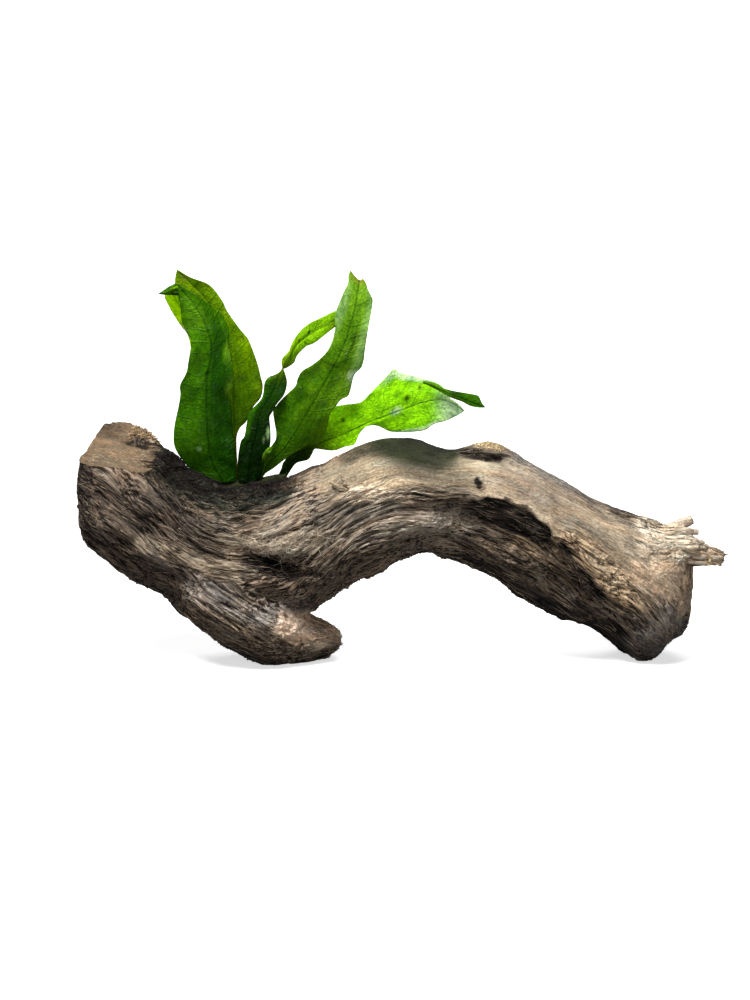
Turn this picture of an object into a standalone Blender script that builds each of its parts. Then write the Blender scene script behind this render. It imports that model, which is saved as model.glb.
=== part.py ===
"""Java fern on driftwood: a bent root with a sawn head, and a fern that has grown into its saddle.

Frame: +X runs along the wood to the broken stub, -Y is the side that is looked at, +Z is up.
The origin lies under the middle of the piece, on the surface that it rests on.
All sizes below are millimetres, and MM turns them into Blender's metres.
"""

import math
from typing import NamedTuple

import bmesh
import bpy
from mathutils import Vector, noise
from mathutils.bvhtree import BVHTree

MM = 0.001
GAP = 0.3  # between pieces that grew together or rest on each other
NAME = "java_fern_on_driftwood"

# Wood: how rough it is, and how its limbs are closed.
LUMP_SIZE, LUMP_HEIGHT = 17.0, 1.6
HEAD_FACE_TILT = 0.31  # rise of the sawn face per unit of depth: it leans towards the viewer
END_TURNS = (30, 55, 75, 90)  # degrees of the rings that round off a limb's far end
CURVE_STEPS = 20  # samples between two stations when their curve is measured


class Ring(NamedTuple):
    """A section of a limb: its lower and upper point (x, z), and its reach to the front and back.

    square and rear are how square its front and back are (2 is round), shift is how far back its
    two points lie, and tilt is how much it rises towards the back.
    """

    low: tuple
    top: tuple
    front: float
    back: float
    square: float = 2.3
    rear: float = 2.0
    shift: float = 0.0
    tilt: float = 0.0


class Ripple(NamedTuple):
    """A wave round a limb that makes long ridges: how many, how high, and how they drift along it."""

    count: int
    height: float
    start: float
    drift: float


class Limb(NamedTuple):
    """A limb's sections and ripples, and how many sides and rings it is drawn with."""

    rings: tuple
    sides: int
    count: int
    ripples: tuple


class Brush(NamedTuple):
    """A raised or hollowed stretch of a limb, along a path of points (x, y, z)."""

    path: tuple
    radius: float
    push: float


TRUNK = (
    Ring((-146.0, 101.0), (-112.8, 97.4), 9, 37, 3.4, 1.45, -12, HEAD_FACE_TILT),
    Ring((-146.8, 92.0), (-111.0, 93.6), 12, 38, 3.2, 1.5, -11, 0.28),
    Ring((-147.2, 80.0), (-107.6, 90.6), 16, 36, 3.0, 1.6, -9, 0.22),
    Ring((-147.2, 68.0), (-102.5, 88.6), 20, 33, 2.8, 1.8, -6, 0.15),
    Ring((-144.5, 57.5), (-96.5, 86.8), 23, 30, 2.6, 2.0, -3, 0.08),
    Ring((-137.0, 49.5), (-90.0, 84.8), 25, 27, 2.4, 2.0, 0, 0.03),
    Ring((-126.0, 41.5), (-84.0, 83.0), 25, 26, 2.4),
    Ring((-111.0, 35.0), (-77.5, 82.2), 25, 25, 2.4),
    Ring((-95.0, 29.0), (-70.5, 82.8), 25, 24, 2.4),
    Ring((-78.0, 24.5), (-64.0, 84.3), 25, 24, 2.3),
    Ring((-62.0, 22.0), (-57.0, 86.0), 26, 25, 2.3),
    Ring((-46.0, 22.0), (-49.5, 88.3), 27, 26, 2.3),
    Ring((-33.2, 29.0), (-41.0, 91.3), 27, 27, 2.3),
    Ring((-26.1, 35.3), (-32.9, 94.5), 27, 28, 2.3),
    Ring((-19.0, 40.0), (-22.6, 99.8), 28, 28, 2.3),
    Ring((-9.7, 43.0), (-10.6, 103.4), 28, 27, 2.3),
    Ring((-0.8, 47.8), (-1.0, 105.0), 27, 26, 2.3),
    Ring((7.0, 51.6), (8.0, 104.0), 26, 25, 2.3),
    Ring((17.0, 50.6), (17.0, 100.3), 25, 25, 2.3),
    Ring((27.0, 48.0), (27.5, 100.3), 25, 26, 2.3),
    Ring((37.2, 43.3), (40.5, 101.3), 27, 27, 2.3),
    Ring((47.6, 38.0), (52.2, 97.2), 28, 27, 2.3),
    Ring((60.5, 28.5), (65.0, 90.0), 28, 26, 2.3),
    Ring((73.3, 21.4), (79.2, 80.6), 27, 25, 2.3),
    Ring((86.0, 18.2), (93.4, 73.4), 26, 25, 2.4, 2.0, 1),
    Ring((96.5, 12.6), (105.5, 70.2), 25, 26, 2.4, 2.0, 2),
    Ring((104.3, 5.0), (116.5, 66.4), 25, 26, 2.4, 2.0, 3),
    Ring((110.0, -0.6), (126.4, 61.2), 24, 25, 2.4, 2.0, 4),
    Ring((116.0, -2.0), (133.2, 50.0), 22, 22, 2.4, 2.0, 4),
    Ring((122.5, 1.0), (135.8, 36.0), 17, 18, 2.3, 2.0, 4),
    Ring((129.0, 8.5), (135.0, 24.0), 10, 12, 2.2, 2.0, 4),
)
PRONG = (
    Ring((-124.0, 48.0), (-116.0, 68.0), 16, 14, 2.6),
    Ring((-111.5, 34.5), (-101.0, 64.0), 20, 17, 2.5),
    Ring((-95.0, 20.0), (-84.0, 61.0), 27, 21, 2.8),
    Ring((-83.6, 11.5), (-70.0, 53.0), 28, 21, 2.8),
    Ring((-72.5, 3.5), (-57.0, 39.0), 26, 20, 2.6),
    Ring((-61.0, -2.0), (-45.8, 23.0), 21, 18, 2.6),
    Ring((-48.0, -2.0), (-41.0, 19.5), 17, 15, 2.5),
    Ring((-37.5, 0.8), (-34.5, 17.3), 12, 11),
    Ring((-31.0, 4.5), (-30.0, 13.0), 6, 6),
)
STUB = (
    Ring((117.0, 45.5), (120.0, 62.5), 11, 10),
    Ring((127.0, 46.0), (128.0, 64.3), 11, 10),
    Ring((133.5, 46.3), (134.5, 63.0), 10, 9),
    Ring((138.5, 46.0), (139.5, 58.3), 8, 7),
    Ring((144.0, 45.2), (144.5, 54.3), 6, 5),
    Ring((148.3, 45.2), (148.6, 50.6), 3, 3),
)

LIMBS = {
    "trunk": Limb(
        TRUNK, 36, 56,
        (Ripple(7, 1.0, 0.4, 0.006), Ripple(10, 0.9, 2.1, -0.004), Ripple(12, 0.7, 4.0, 0.009)),
    ),
    "prong": Limb(PRONG, 30, 25, (Ripple(7, 0.9, 1.2, 0.01), Ripple(9, 0.9, 3.3, -0.012))),
    "stub": Limb(STUB, 16, 12, (Ripple(5, 0.8, 0.7, 0.02),)),
}

# The forms that the wood is known by. Those on the side that is looked at come first.
LEDGE_LEVEL = ((-4, -23, 83), (25, -24, 82), (46, -24, 82))
BRUSHES = (
    Brush(((-66, -25, 61), (-50, -26, 60), (-38, -25, 62)), 8.0, 4.0),  # shoulder over the cleft
    Brush(((-68, -27, 56.5), (-60, -27, 52.5), (-50, -26, 46)), 4.5, -5.0),  # cleft
    Brush(((-108, -26, 61), (-92, -26, 54), (-78, -26, 50)), 5.0, 2.0),  # smooth ridge over the prong
    Brush(((-113, -26, 85), (-103, -26, 72), (-92, -26, 63)), 4.0, -3.0),  # deep groove from the head
    Brush(((-102, -25, 79), (-93, -26, 73)), 4.0, -2.5),  # short groove beside it
    Brush((*LEDGE_LEVEL, (58, -25, 77), (69, -25, 64), (84, -25, 44)), 5.0, 3.0),  # ledge on the arch
    Brush(((30, -26, 71), (54, -28, 62), (63, -28, 54), (76, -26, 38)), 8.5, -10.0),  # hollow below it
    Brush(((18, -21, 57), (58, -22, 38), (92, -20, 22)), 10.0, -4.5),  # undercut of the arch
    Brush(((36, -24, 90), (36, -25, 84)), 3.5, -2.0),  # crack above the ledge
    Brush(((42, -7, 101), (47, -6, 101)), 5.0, 2.5),  # knot of broken fibres on top
    Brush(((40, -13, 97), (50, -12, 96)), 4.0, -2.0),  # hollow in front of that knot
    Brush(((117, -25, 53.5),), 4.0, -3.0),  # knot hole beside the stub
    Brush(((106, -25, 41), (120, -24, 24)), 3.5, -2.5),  # long split in the foot
    Brush(((-28, -24, 90), (-22, -25, 85)), 3.5, 2.0),  # torn splinter
    Brush(((-105, -27, 58),), 3.5, 1.5),  # nub
    Brush(((-122, 12, 104), (-116, 6, 101)), 4.0, 2.0),  # tuft on the sawn edge
    Brush(((-98, 10, 83), (-80, 10, 81), (-60, 10, 84)), 6.5, -6.5),  # bed of the rhizome
    Brush(((-60, 27, 66), (-20, 27, 74), (20, 27, 78)), 7.0, 3.0),  # rib along the back
    Brush(((-30, 27, 60), (10, 27, 64), (50, 26, 60)), 7.0, -5.0),  # trough under it
    Brush(((-125, 27, 70), (-100, 27, 62)), 8.0, -4.0),  # hollow at the back of the head
    Brush(((95, 26, 50), (112, 24, 34)), 6.0, -4.0),  # hollow at the back of the foot
)



class Cut(NamedTuple):
    """A fork's cut: a block of a size and angle that starts at a corner and lies to one side of it."""

    corner: tuple
    size: tuple
    angle: float
    side: tuple


PRONG_CUT = Cut((-13.0, 20.9), (110.0, 90.0, 60.0), -5.5, (-1, -1))
STUB_CUT = Cut((130.5, 42.8), (40.0, 27.0, 40.0), 0.0, (1, 1))
GROUND_CUT = Cut((0.0, 0.0), (400.0, 200.0, 20.0), 0.0, (0, -1))


class Splinter(NamedTuple):
    """A broken fibre bundle of the stub, from its root to its tip."""

    root: tuple
    tip: tuple
    thick: float
    thin: float


SPLINTERS = (
    Splinter((125.5, 1.0, 59.0), (136.6, -1.0, 66.6), 3.4, 2.2),
    Splinter((131.0, 4.0, 57.0), (139.0, 3.0, 60.6), 2.6, 0.9),
    Splinter((132.0, -3.0, 56.0), (142.2, -5.0, 56.2), 2.4, 0.7),
    Splinter((134.0, 2.0, 52.0), (150.3, 1.0, 49.3), 3.4, 1.3),
    Splinter((136.0, -4.0, 50.0), (149.2, -3.5, 46.6), 2.4, 0.9),
    Splinter((134.0, 5.0, 49.0), (146.0, 6.0, 50.5), 2.4, 0.8),
)

# Fern.
RHIZOME = Limb(
    (
        Ring((-97.0, 82.2), (-97.0, 86.8), 2.3, 2.3),
        Ring((-90.0, 79.0), (-90.0, 84.8), 2.9, 2.9),
        Ring((-80.0, 76.8), (-80.0, 83.0), 3.1, 3.1),
        Ring((-70.0, 77.2), (-70.0, 83.3), 3.1, 3.1),
        Ring((-60.0, 79.4), (-60.0, 85.2), 2.8, 2.8),
        Ring((-54.0, 83.6), (-54.5, 87.6), 2.0, 2.0),
    ),
    10, 16, (Ripple(3, 0.25, 0.2, 0.9),),
)
RHIZOME_DEPTH = 10.5  # how far back it lies in the saddle

LEAF_COLUMNS, LEAF_ROWS, SPROUT_ROWS = 6, 16, 6
LEAF_STALK_THICKNESS = 2.2
LEAF_STALK_LENGTH = 0.2  # share of the leaf along which the stalk thins out
LEAF_EDGE_SHARE = 0.34  # thickness of the margin as a share of the stalk's
LEAF_RIB_SHARE = 0.55  # and of the midrib at the tip
LEAF_RIB_WIDTH = 0.45  # reach of the thick midrib as a share of the half width
LEAF_PHASE = 0.6 * math.pi  # how far the waves of the right margin run ahead of the left one's
LEAF_NOTCH_START = 0.9  # share of the leaf's length where a notched tip begins
LEAF_LOOK = 0.05  # step to each side when the midrib's direction is taken


class Rib(NamedTuple):
    """A station of a leaf: a point of its midrib, its reach to each side, and its turn in degrees."""

    x: float
    y: float
    z: float
    left: float
    right: float
    turn: float = 0.0


class Leaf(NamedTuple):
    """A leaf: its stations, how far its halves fold back, and the waves of its margin."""

    ribs: tuple
    cup: float
    waves: float
    wave_height: float
    wave_start: float
    notch: float
    colour: tuple


LEAVES = {
    "leaf_front_left": Leaf(
        (
            Rib(-84.6, 8.0, 84.2, 1.5, 1.5),
            Rib(-85.4, 6.5, 87.5, 7.5, 7.0, 4),
            Rib(-87.9, 4.0, 94.0, 14.0, 11.3, 8),
            Rib(-89.3, 1.0, 104.7, 16.2, 11.2, 12),
            Rib(-89.6, -1.0, 116.7, 13.8, 11.5, 12),
            Rib(-89.5, -2.0, 128.0, 12.3, 11.2, 8),
            Rib(-88.5, -3.0, 140.6, 9.8, 11.3, 0),
            Rib(-89.5, -3.0, 153.5, 8.0, 10.6, -6),
            Rib(-94.5, -2.0, 167.1, 8.0, 9.0, -4),
            Rib(-101.0, 0.0, 177.0, 1.0, 1.0, 0),
        ),
        0.12, 2.6, 1.1, 0.6, 0.0, (0.04, 0.14, 0.004),
    ),
    "leaf_back_left": Leaf(
        (
            Rib(-77.7, 12.5, 84.0, 1.5, 1.5),
            Rib(-77.6, 13.0, 95.3, 1.2, 1.2),
            Rib(-77.3, 14.0, 103.7, 3.4, 1.6),
            Rib(-78.0, 14.0, 112.3, 9.8, 6.6),
            Rib(-77.9, 14.0, 120.8, 13.2, 12.6),
            Rib(-77.6, 13.0, 130.4, 15.0, 13.5),
            Rib(-79.5, 12.0, 142.3, 13.5, 12.2),
            Rib(-84.2, 11.0, 154.1, 12.1, 9.4),
            Rib(-89.6, 10.0, 165.3, 10.0, 8.1),
            Rib(-95.6, 9.0, 174.6, 7.0, 6.2),
            Rib(-102.7, 8.0, 182.0, 0.9, 0.9),
        ),
        -0.04, 2.2, 1.0, 2.0, 0.0, (0.10, 0.20, 0.004),
    ),
    "leaf_curled": Leaf(
        (
            Rib(-89.5, 14.5, 84.2, 1.4, 1.4),
            Rib(-90.5, 18.0, 96.3, 3.3, 3.3),
            Rib(-93.2, 21.0, 114.9, 6.1, 6.1),
            Rib(-95.6, 21.0, 134.0, 6.7, 6.6),
            Rib(-98.9, 19.5, 150.7, 4.4, 6.9),
            Rib(-102.1, 17.5, 161.8, 5.2, 5.6),
            Rib(-105.2, 15.0, 168.6, 5.0, 4.6, -14),
            Rib(-108.0, 11.5, 171.6, 3.0, 3.6, -24),
            Rib(-111.3, 7.5, 171.0, 0.8, 0.8, -30),
        ),
        0.1, 1.5, 0.5, 1.0, 0.0, (0.16, 0.30, 0.008),
    ),
    "leaf_twisted": Leaf(
        (
            Rib(-73.2, 8.2, 84.0, 1.5, 1.5),
            Rib(-72.0, 7.0, 88.4, 4.0, 4.0),
            Rib(-69.3, 4.5, 96.4, 6.4, 5.6),
            Rib(-67.2, 3.0, 105.5, 5.6, 6.0),
            Rib(-65.3, 4.0, 114.3, 5.6, 4.4),
            Rib(-61.7, 5.0, 121.3, 5.4, 5.4, 8),
            Rib(-58.0, 6.5, 128.5, 6.4, 5.6, 30),
            Rib(-54.8, 10.0, 135.3, 4.4, 4.0, 88),
            Rib(-51.5, 13.5, 141.7, 3.6, 3.6, 145),
            Rib(-46.4, 14.5, 148.1, 3.8, 3.8, 165),
            Rib(-39.9, 15.5, 153.1, 4.0, 4.0, 175),
            Rib(-32.9, 16.0, 157.6, 3.8, 4.0, 180),
            Rib(-24.5, 17.0, 161.7, 0.8, 0.8, 180),
        ),
        0.1, 3.0, 0.6, 0.0, 0.0, (0.03, 0.10, 0.004),
    ),
    "leaf_middle": Leaf(
        (
            Rib(-66.0, 11.5, 85.4, 1.5, 1.5),
            Rib(-63.6, 11.5, 88.6, 2.6, 2.8),
            Rib(-57.4, 10.5, 95.6, 5.2, 5.9),
            Rib(-51.1, 8.0, 104.5, 8.0, 9.4),
            Rib(-46.3, 5.0, 113.4, 12.2, 12.6),
            Rib(-41.1, 3.0, 122.1, 11.6, 12.2),
            Rib(-35.5, 1.0, 131.3, 11.2, 13.0),
            Rib(-29.4, 0.0, 141.6, 9.4, 12.0),
            Rib(-23.9, 0.0, 153.1, 7.6, 9.9),
            Rib(-20.2, 1.0, 164.5, 8.2, 7.3),
            Rib(-18.8, 3.0, 172.9, 6.5, 4.6),
            Rib(-20.4, 5.0, 182.4, 3.0, 3.0),
        ),
        0.14, 2.8, 1.3, 1.4, 3.4, (0.07, 0.20, 0.01),
    ),
    "leaf_right": Leaf(
        (
            Rib(-57.6, 13.8, 87.4, 1.4, 1.4),
            Rib(-53.8, 14.2, 89.8, 2.1, 2.1),
            Rib(-47.8, 15.0, 93.5, 4.6, 3.4),
            Rib(-42.1, 14.5, 98.5, 6.6, 3.4, 8),
            Rib(-33.1, 12.5, 103.1, 9.5, 6.4, 14),
            Rib(-23.7, 9.5, 108.0, 11.4, 7.4, 18),
            Rib(-13.9, 6.0, 112.7, 11.8, 3.6, 20),
            Rib(-3.2, 3.0, 117.4, 15.6, 7.4, 20),
            Rib(6.9, 0.0, 121.4, 13.2, 11.6, 18),
            Rib(16.9, -3.0, 124.4, 8.2, 9.0, 12),
            Rib(25.9, -6.0, 124.6, 4.2, 5.6, 4),
            Rib(38.6, -9.0, 121.6, 0.8, 0.8, 0),
        ),
        0.12, 2.4, 1.3, 3.0, 0.0, (0.18, 0.42, 0.01),
    ),
    "leaf_sprout": Leaf(
        (
            Rib(-64.2, 7.0, 85.0, 1.0, 1.0),
            Rib(-62.6, 2.6, 91.5, 1.1, 1.1),
            Rib(-61.4, 0.8, 96.5, 2.0, 2.0),
            Rib(-59.2, 0.2, 101.2, 0.6, 0.6),
        ),
        0.2, 1.0, 0.1, 0.0, 0.0, (0.22, 0.45, 0.02),
    ),
}

ROOT_RADIUS = 0.75
ROOT_CLEARANCE = 0.7  # from the wood to the root's side, over its facets
ROOT_STEP = 4.0
ROOTS = {
    "root_1": ((-95, 5, 88), (-99, 0, 91), (-104, -4, 95), (-109, -5, 98)),
    "root_2": ((-84, 4, 84), (-89, -2, 85), (-95, -8, 87), (-101, -12, 88)),
    "root_3": ((-74, 4, 84), (-68, -3, 84), (-60, -5, 85), (-52, -5, 87)),
    "root_4": ((-62, 17, 84), (-54, 20, 84), (-44, 22, 84), (-34, 25, 82)),
    "root_5": ((-90, 17, 84), (-98, 21, 82), (-106, 25, 80)),
}

WOOD_COLOURS = {
    "driftwood_trunk": (0.20, 0.145, 0.10),
    "driftwood_prong": (0.12, 0.09, 0.068),
    "driftwood_stub": (0.42, 0.32, 0.24),
}
RHIZOME_COLOUR = (0.05, 0.07, 0.02)
ROOT_COLOUR = (0.02, 0.014, 0.01)
WOOD_ROUGHNESS, LEAF_ROUGHNESS, ROOT_ROUGHNESS = 0.9, 0.35, 0.8


def clear_scene():
    """Remove what the file holds, so that the part stands alone."""
    for item in list(bpy.data.objects):
        bpy.data.objects.remove(item, do_unlink=True)


def new_collection(name):
    """Make a collection under the scene and return it."""
    collection = bpy.data.collections.new(name)
    bpy.context.scene.collection.children.link(collection)
    return collection


def dress(item, colour, roughness):
    """Give an object its own Principled material."""
    material = bpy.data.materials.new(item.name)
    material.use_nodes = True
    shader = material.node_tree.nodes["Principled BSDF"]
    shader.inputs["Base Color"].default_value = (*colour, 1.0)
    shader.inputs["Roughness"].default_value = roughness
    shader.inputs["Metallic"].default_value = 0.0
    item.data.materials.append(material)


def add_mesh(name, shape, collection):
    """Turn a bmesh into an object of a collection and return the object."""
    bmesh.ops.recalc_face_normals(shape, faces=shape.faces)
    mesh = bpy.data.meshes.new(name)
    shape.to_mesh(mesh)
    shape.free()
    item = bpy.data.objects.new(name, mesh)
    collection.objects.link(item)
    return item


def smooth_row(rows, place):
    """Numbers at a place among rows of numbers, on a smooth curve through every row."""
    index = min(int(place), len(rows) - 2)
    part = place - index
    before = rows[max(index - 1, 0)]
    after = rows[min(index + 2, len(rows) - 1)]
    return [
        0.5 * (2 * b + (c - a) * part + (2 * a - 5 * b + 4 * c - d) * part**2
               + (3 * b - a - 3 * c + d) * part**3)
        for a, b, c, d in zip(before, rows[index], rows[index + 1], after)
    ]


def even_places(rows, centre, count):
    """Places among the rows that lie at equal distances along the curve of their centres."""
    fine = CURVE_STEPS * (len(rows) - 1)
    places = [k / CURVE_STEPS for k in range(fine + 1)]
    points = [centre(smooth_row(rows, place)) for place in places]
    walked = [0.0]
    for start, end in zip(points, points[1:]):
        walked.append(walked[-1] + (end - start).length)
    steps, index = [], 0
    for k in range(count):
        want = walked[-1] * k / (count - 1)
        while index < fine - 1 and walked[index + 1] < want:
            index += 1
        share = (want - walked[index]) / (walked[index + 1] - walked[index])
        steps.append((places[index] + share / CURVE_STEPS, want))
    return steps


def distance_to_path(point, path):
    """Distance from a point to a line through points, or to a single point."""
    corners = [Vector(p) for p in path]
    if len(corners) == 1:
        return (point - corners[0]).length
    best = math.inf
    for start, end in zip(corners, corners[1:]):
        run = end - start
        share = max(0.0, min(1.0, (point - start).dot(run) / run.length_squared))
        best = min(best, (point - start - run * share).length)
    return best


def ring_point(row, angle, shrink, depth):
    """Point of a limb's section and the section's centre. Angle 0 is the top, and 90 the front."""
    low_x, low_z, top_x, top_z, front, back, square, rear, shift, tilt = row
    across, side = math.cos(angle), math.sin(angle)
    power = 2.0 / (square if side > 0 else rear)
    across = math.copysign(abs(across) ** power, across)
    reach = (-front if side > 0 else back) * abs(side) ** power
    centre = Vector(((low_x + top_x) / 2, depth + shift, (low_z + top_z) / 2))
    half = Vector(((top_x - low_x) / 2, 0.0, (top_z - low_z) / 2))
    point = centre + (half * across + Vector((0.0, reach, reach * tilt))) * shrink
    return point, centre


def limb(name, form, collection, depth=0.0, blunt=(0.5, 0.93), bulge=2.0, carved=True):
    """A limb: a sphere's rings laid on the limb's sections, with its ridges, lumps and brushes.

    blunt holds the sizes of the extra rings that close its near end, bulge is how far its far end
    swells out, and carved says whether the wood's lumps and brushes are laid on it.
    """

    def middle(row):
        """Centre of a section."""
        return ring_point(row, 0.0, 0.0, depth)[1]

    rows = [[*ring.low, *ring.top, *ring[2:]] for ring in form.rings]
    body = even_places(rows, middle, form.count - len(blunt) - len(END_TURNS))
    last_place, last_along = body[-1]
    plan = [(0.0, 0.0, share, 0.0) for share in (0.0, *blunt)]
    plan += [(place, along, 1.0, 0.0) for place, along in body]
    for turn in END_TURNS:
        swing = math.radians(turn)
        plan.append((last_place, last_along, math.cos(swing), bulge * math.sin(swing)))
    out = (middle(rows[-1]) - middle(rows[-2])).normalized()
    shape = bmesh.new()
    bmesh.ops.create_uvsphere(shape, u_segments=form.sides, v_segments=len(plan) - 1, radius=1.0)
    for vertex in shape.verts:
        step = round(math.acos(max(-1.0, min(1.0, vertex.co.z))) / math.pi * (len(plan) - 1))
        place, along, shrink, swell = plan[step]
        angle = math.atan2(vertex.co.y, vertex.co.x)
        point, centre = ring_point(smooth_row(rows, place), angle, shrink, depth)
        outward = (point - centre).normalized()
        rise = sum(w.height * math.sin(w.count * angle + w.start + w.drift * along) for w in form.ripples)
        if carved:
            rise += LUMP_HEIGHT * noise.noise(point / LUMP_SIZE)
            for brush in BRUSHES:
                rise += brush.push * math.exp(-(distance_to_path(point, brush.path) / brush.radius) ** 2)
        vertex.co = (point + outward * rise * shrink + out * swell) * MM
    return add_mesh(name, shape, collection)


def hide_guide(item):
    """Mark an object as one that only cuts or joins others."""
    item.hide_render = True
    item.display_type = "WIRE"
    return item


def block(name, cut, collection, inset=0.0):
    """The cutting block of a cut, drawn back from its corner by an inset."""
    shape = bmesh.new()
    bmesh.ops.create_cube(shape, size=1.0)
    across, up = cut.side
    for vertex in shape.verts:
        x = vertex.co.x + 0.5 * across
        z = vertex.co.z + 0.5 * up
        vertex.co = Vector((x * cut.size[0], vertex.co.y * cut.size[1], z * cut.size[2])) * MM
    item = hide_guide(add_mesh(name, shape, collection))
    item.location = Vector((cut.corner[0] + inset * across, 0.0, cut.corner[1] + inset * up)) * MM
    item.rotation_euler.y = math.radians(-cut.angle)
    return item


def combine(item, other, operation):
    """Add a Boolean modifier to an object."""
    modifier = item.modifiers.new(operation.lower() + "_" + other.name, "BOOLEAN")
    modifier.operation = operation
    modifier.object = other
    modifier.solver = "EXACT"


def splinter(name, form, collection):
    """One broken bundle of fibres, as a tapered six-sided spike."""
    root, tip = Vector(form.root), Vector(form.tip)
    run = tip - root
    shape = bmesh.new()
    bmesh.ops.create_cone(
        shape, cap_ends=True, segments=6, radius1=form.thick * MM, radius2=form.thin * MM,
        depth=run.length * MM,
    )
    item = hide_guide(add_mesh(name, shape, collection))
    item.location = (root + tip) / 2 * MM
    item.rotation_mode = "QUATERNION"
    item.rotation_quaternion = run.to_track_quat("Z", "Y")
    return item


def build_wood(collection, cutters):
    """The driftwood's three pieces, split at its forks and worn flat where it rests."""
    cuts = {"prong": PRONG_CUT, "stub": STUB_CUT}
    pieces, guides = {}, {}
    for key, form in LIMBS.items():
        pieces[key] = limb("driftwood_" + key, form, collection)
        guides[key] = hide_guide(limb(key + "_guide", form, cutters))
    for key in cuts:
        combine(pieces["trunk"], guides[key], "UNION")
        combine(pieces[key], guides["trunk"], "UNION")
    for index, form in enumerate(SPLINTERS, start=1):
        combine(pieces["stub"], splinter(f"splinter_{index}", form, cutters), "UNION")
    for key, cut in cuts.items():
        combine(pieces["trunk"], block(key + "_seat", cut, cutters), "DIFFERENCE")
        combine(pieces[key], block(key + "_clip", cut, cutters, inset=GAP), "INTERSECT")
    ground = block("ground", GROUND_CUT, cutters)
    for key in ("trunk", "prong"):
        combine(pieces[key], ground, "DIFFERENCE")
    for item in pieces.values():
        dress(item, WOOD_COLOURS[item.name], WOOD_ROUGHNESS)
    return pieces


def leaf_point(leaf, rows, place, across, share):
    """Point of a leaf's middle surface, across from -1 at its left margin to 1 at its right one."""
    x, y, z, left, right, turn = smooth_row(rows, place)
    ahead = smooth_row(rows, min(place + LEAF_LOOK, len(rows) - 1.0))
    behind = smooth_row(rows, max(place - LEAF_LOOK, 0.0))
    along = (Vector(ahead[:3]) - Vector(behind[:3])).normalized()
    leftward = along.cross(Vector((0.0, 1.0, 0.0))).normalized()
    back = leftward.cross(along)
    swing = math.radians(turn)
    leftward, back = (
        leftward * math.cos(swing) + back * math.sin(swing),
        back * math.cos(swing) - leftward * math.sin(swing),
    )
    reach = left * -across if across < 0 else -right * across
    phase = 2 * math.pi * leaf.waves * share + leaf.wave_start + (LEAF_PHASE if across > 0 else 0.0)
    swell = math.sin(math.pi * share) * across**2
    lift = leaf.cup * abs(reach) + leaf.wave_height * swell * math.sin(phase)
    notch = leaf.notch * (1 - abs(across)) * max(0.0, share - LEAF_NOTCH_START) / (1 - LEAF_NOTCH_START)
    return Vector((x, y, z)) + leftward * reach + back * lift - along * notch


def leaf_thickness(share, across):
    """Thickness of a leaf as a share of its stalk's: thick at the rib and stalk, thin at the margin."""
    stalk = max(0.0, 1.0 - share / LEAF_STALK_LENGTH)
    rib = LEAF_RIB_SHARE * max(0.0, 1.0 - abs(across) / LEAF_RIB_WIDTH)
    return max(stalk, rib, LEAF_EDGE_SHARE)


def build_leaf(name, leaf, rows_count, collection):
    """One leaf: a grid laid on its midrib, given its thickness by Solidify."""
    rows = [list(rib) for rib in leaf.ribs]
    steps = even_places(rows, lambda row: Vector(row[:3]), rows_count + 1)
    shape = bmesh.new()
    bmesh.ops.create_grid(shape, x_segments=LEAF_COLUMNS, y_segments=rows_count, size=1.0)
    marks = [(v.co.x, (v.co.y + 1) / 2) for v in shape.verts]
    for vertex, (across, share) in zip(shape.verts, marks):
        place = steps[round(share * rows_count)][0]
        vertex.co = leaf_point(leaf, rows, place, across, share) * MM
    mesh = bpy.data.meshes.new(name)
    shape.to_mesh(mesh)
    shape.free()
    item = bpy.data.objects.new(name, mesh)
    collection.objects.link(item)
    group = item.vertex_groups.new(name="thickness")
    for index, (across, share) in enumerate(marks):
        group.add([index], leaf_thickness(share, across), "REPLACE")
    solid = item.modifiers.new("thickness", "SOLIDIFY")
    solid.thickness = LEAF_STALK_THICKNESS * MM
    solid.offset = 0.0
    solid.vertex_group = group.name
    dress(item, leaf.colour, LEAF_ROUGHNESS)
    return item


def build_root(name, route, wood, collection):
    """One wiry root: a tube that follows a route laid down on the wood."""
    laid = []
    for guess in route:
        spot, normal, _, _ = wood.find_nearest(Vector(guess) * MM)
        laid.append([*(spot / MM + normal * (ROOT_RADIUS + ROOT_CLEARANCE))])
    length = sum((Vector(b) - Vector(a)).length for a, b in zip(laid, laid[1:]))
    count = round(length / ROOT_STEP) + 1
    points = []
    for place, _ in even_places(laid, lambda row: Vector(row), count):
        spot, normal, _, _ = wood.find_nearest(Vector(smooth_row(laid, place)) * MM)
        points.append(spot + normal * (ROOT_RADIUS + ROOT_CLEARANCE) * MM)
    curve = bpy.data.curves.new(name, "CURVE")
    curve.dimensions = "3D"
    curve.bevel_depth = ROOT_RADIUS * MM
    curve.bevel_resolution = 1
    curve.use_fill_caps = True
    line = curve.splines.new("POLY")
    line.points.add(len(points) - 1)
    for knot, point in zip(line.points, points):
        knot.co = (*point, 1.0)
    item = bpy.data.objects.new(name, curve)
    collection.objects.link(item)
    dress(item, ROOT_COLOUR, ROOT_ROUGHNESS)
    return item


def build_fern(collection, wood):
    """The rhizome, its leaves and its roots."""
    rhizome = limb(
        "rhizome", RHIZOME, collection, depth=RHIZOME_DEPTH, blunt=(0.7,), bulge=1.5, carved=False
    )
    dress(rhizome, RHIZOME_COLOUR, ROOT_ROUGHNESS)
    for name, leaf in LEAVES.items():
        rows_count = SPROUT_ROWS if name == "leaf_sprout" else LEAF_ROWS
        build_leaf(name, leaf, rows_count, collection)
    for name, route in ROOTS.items():
        build_root(name, route, wood, collection)


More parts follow.
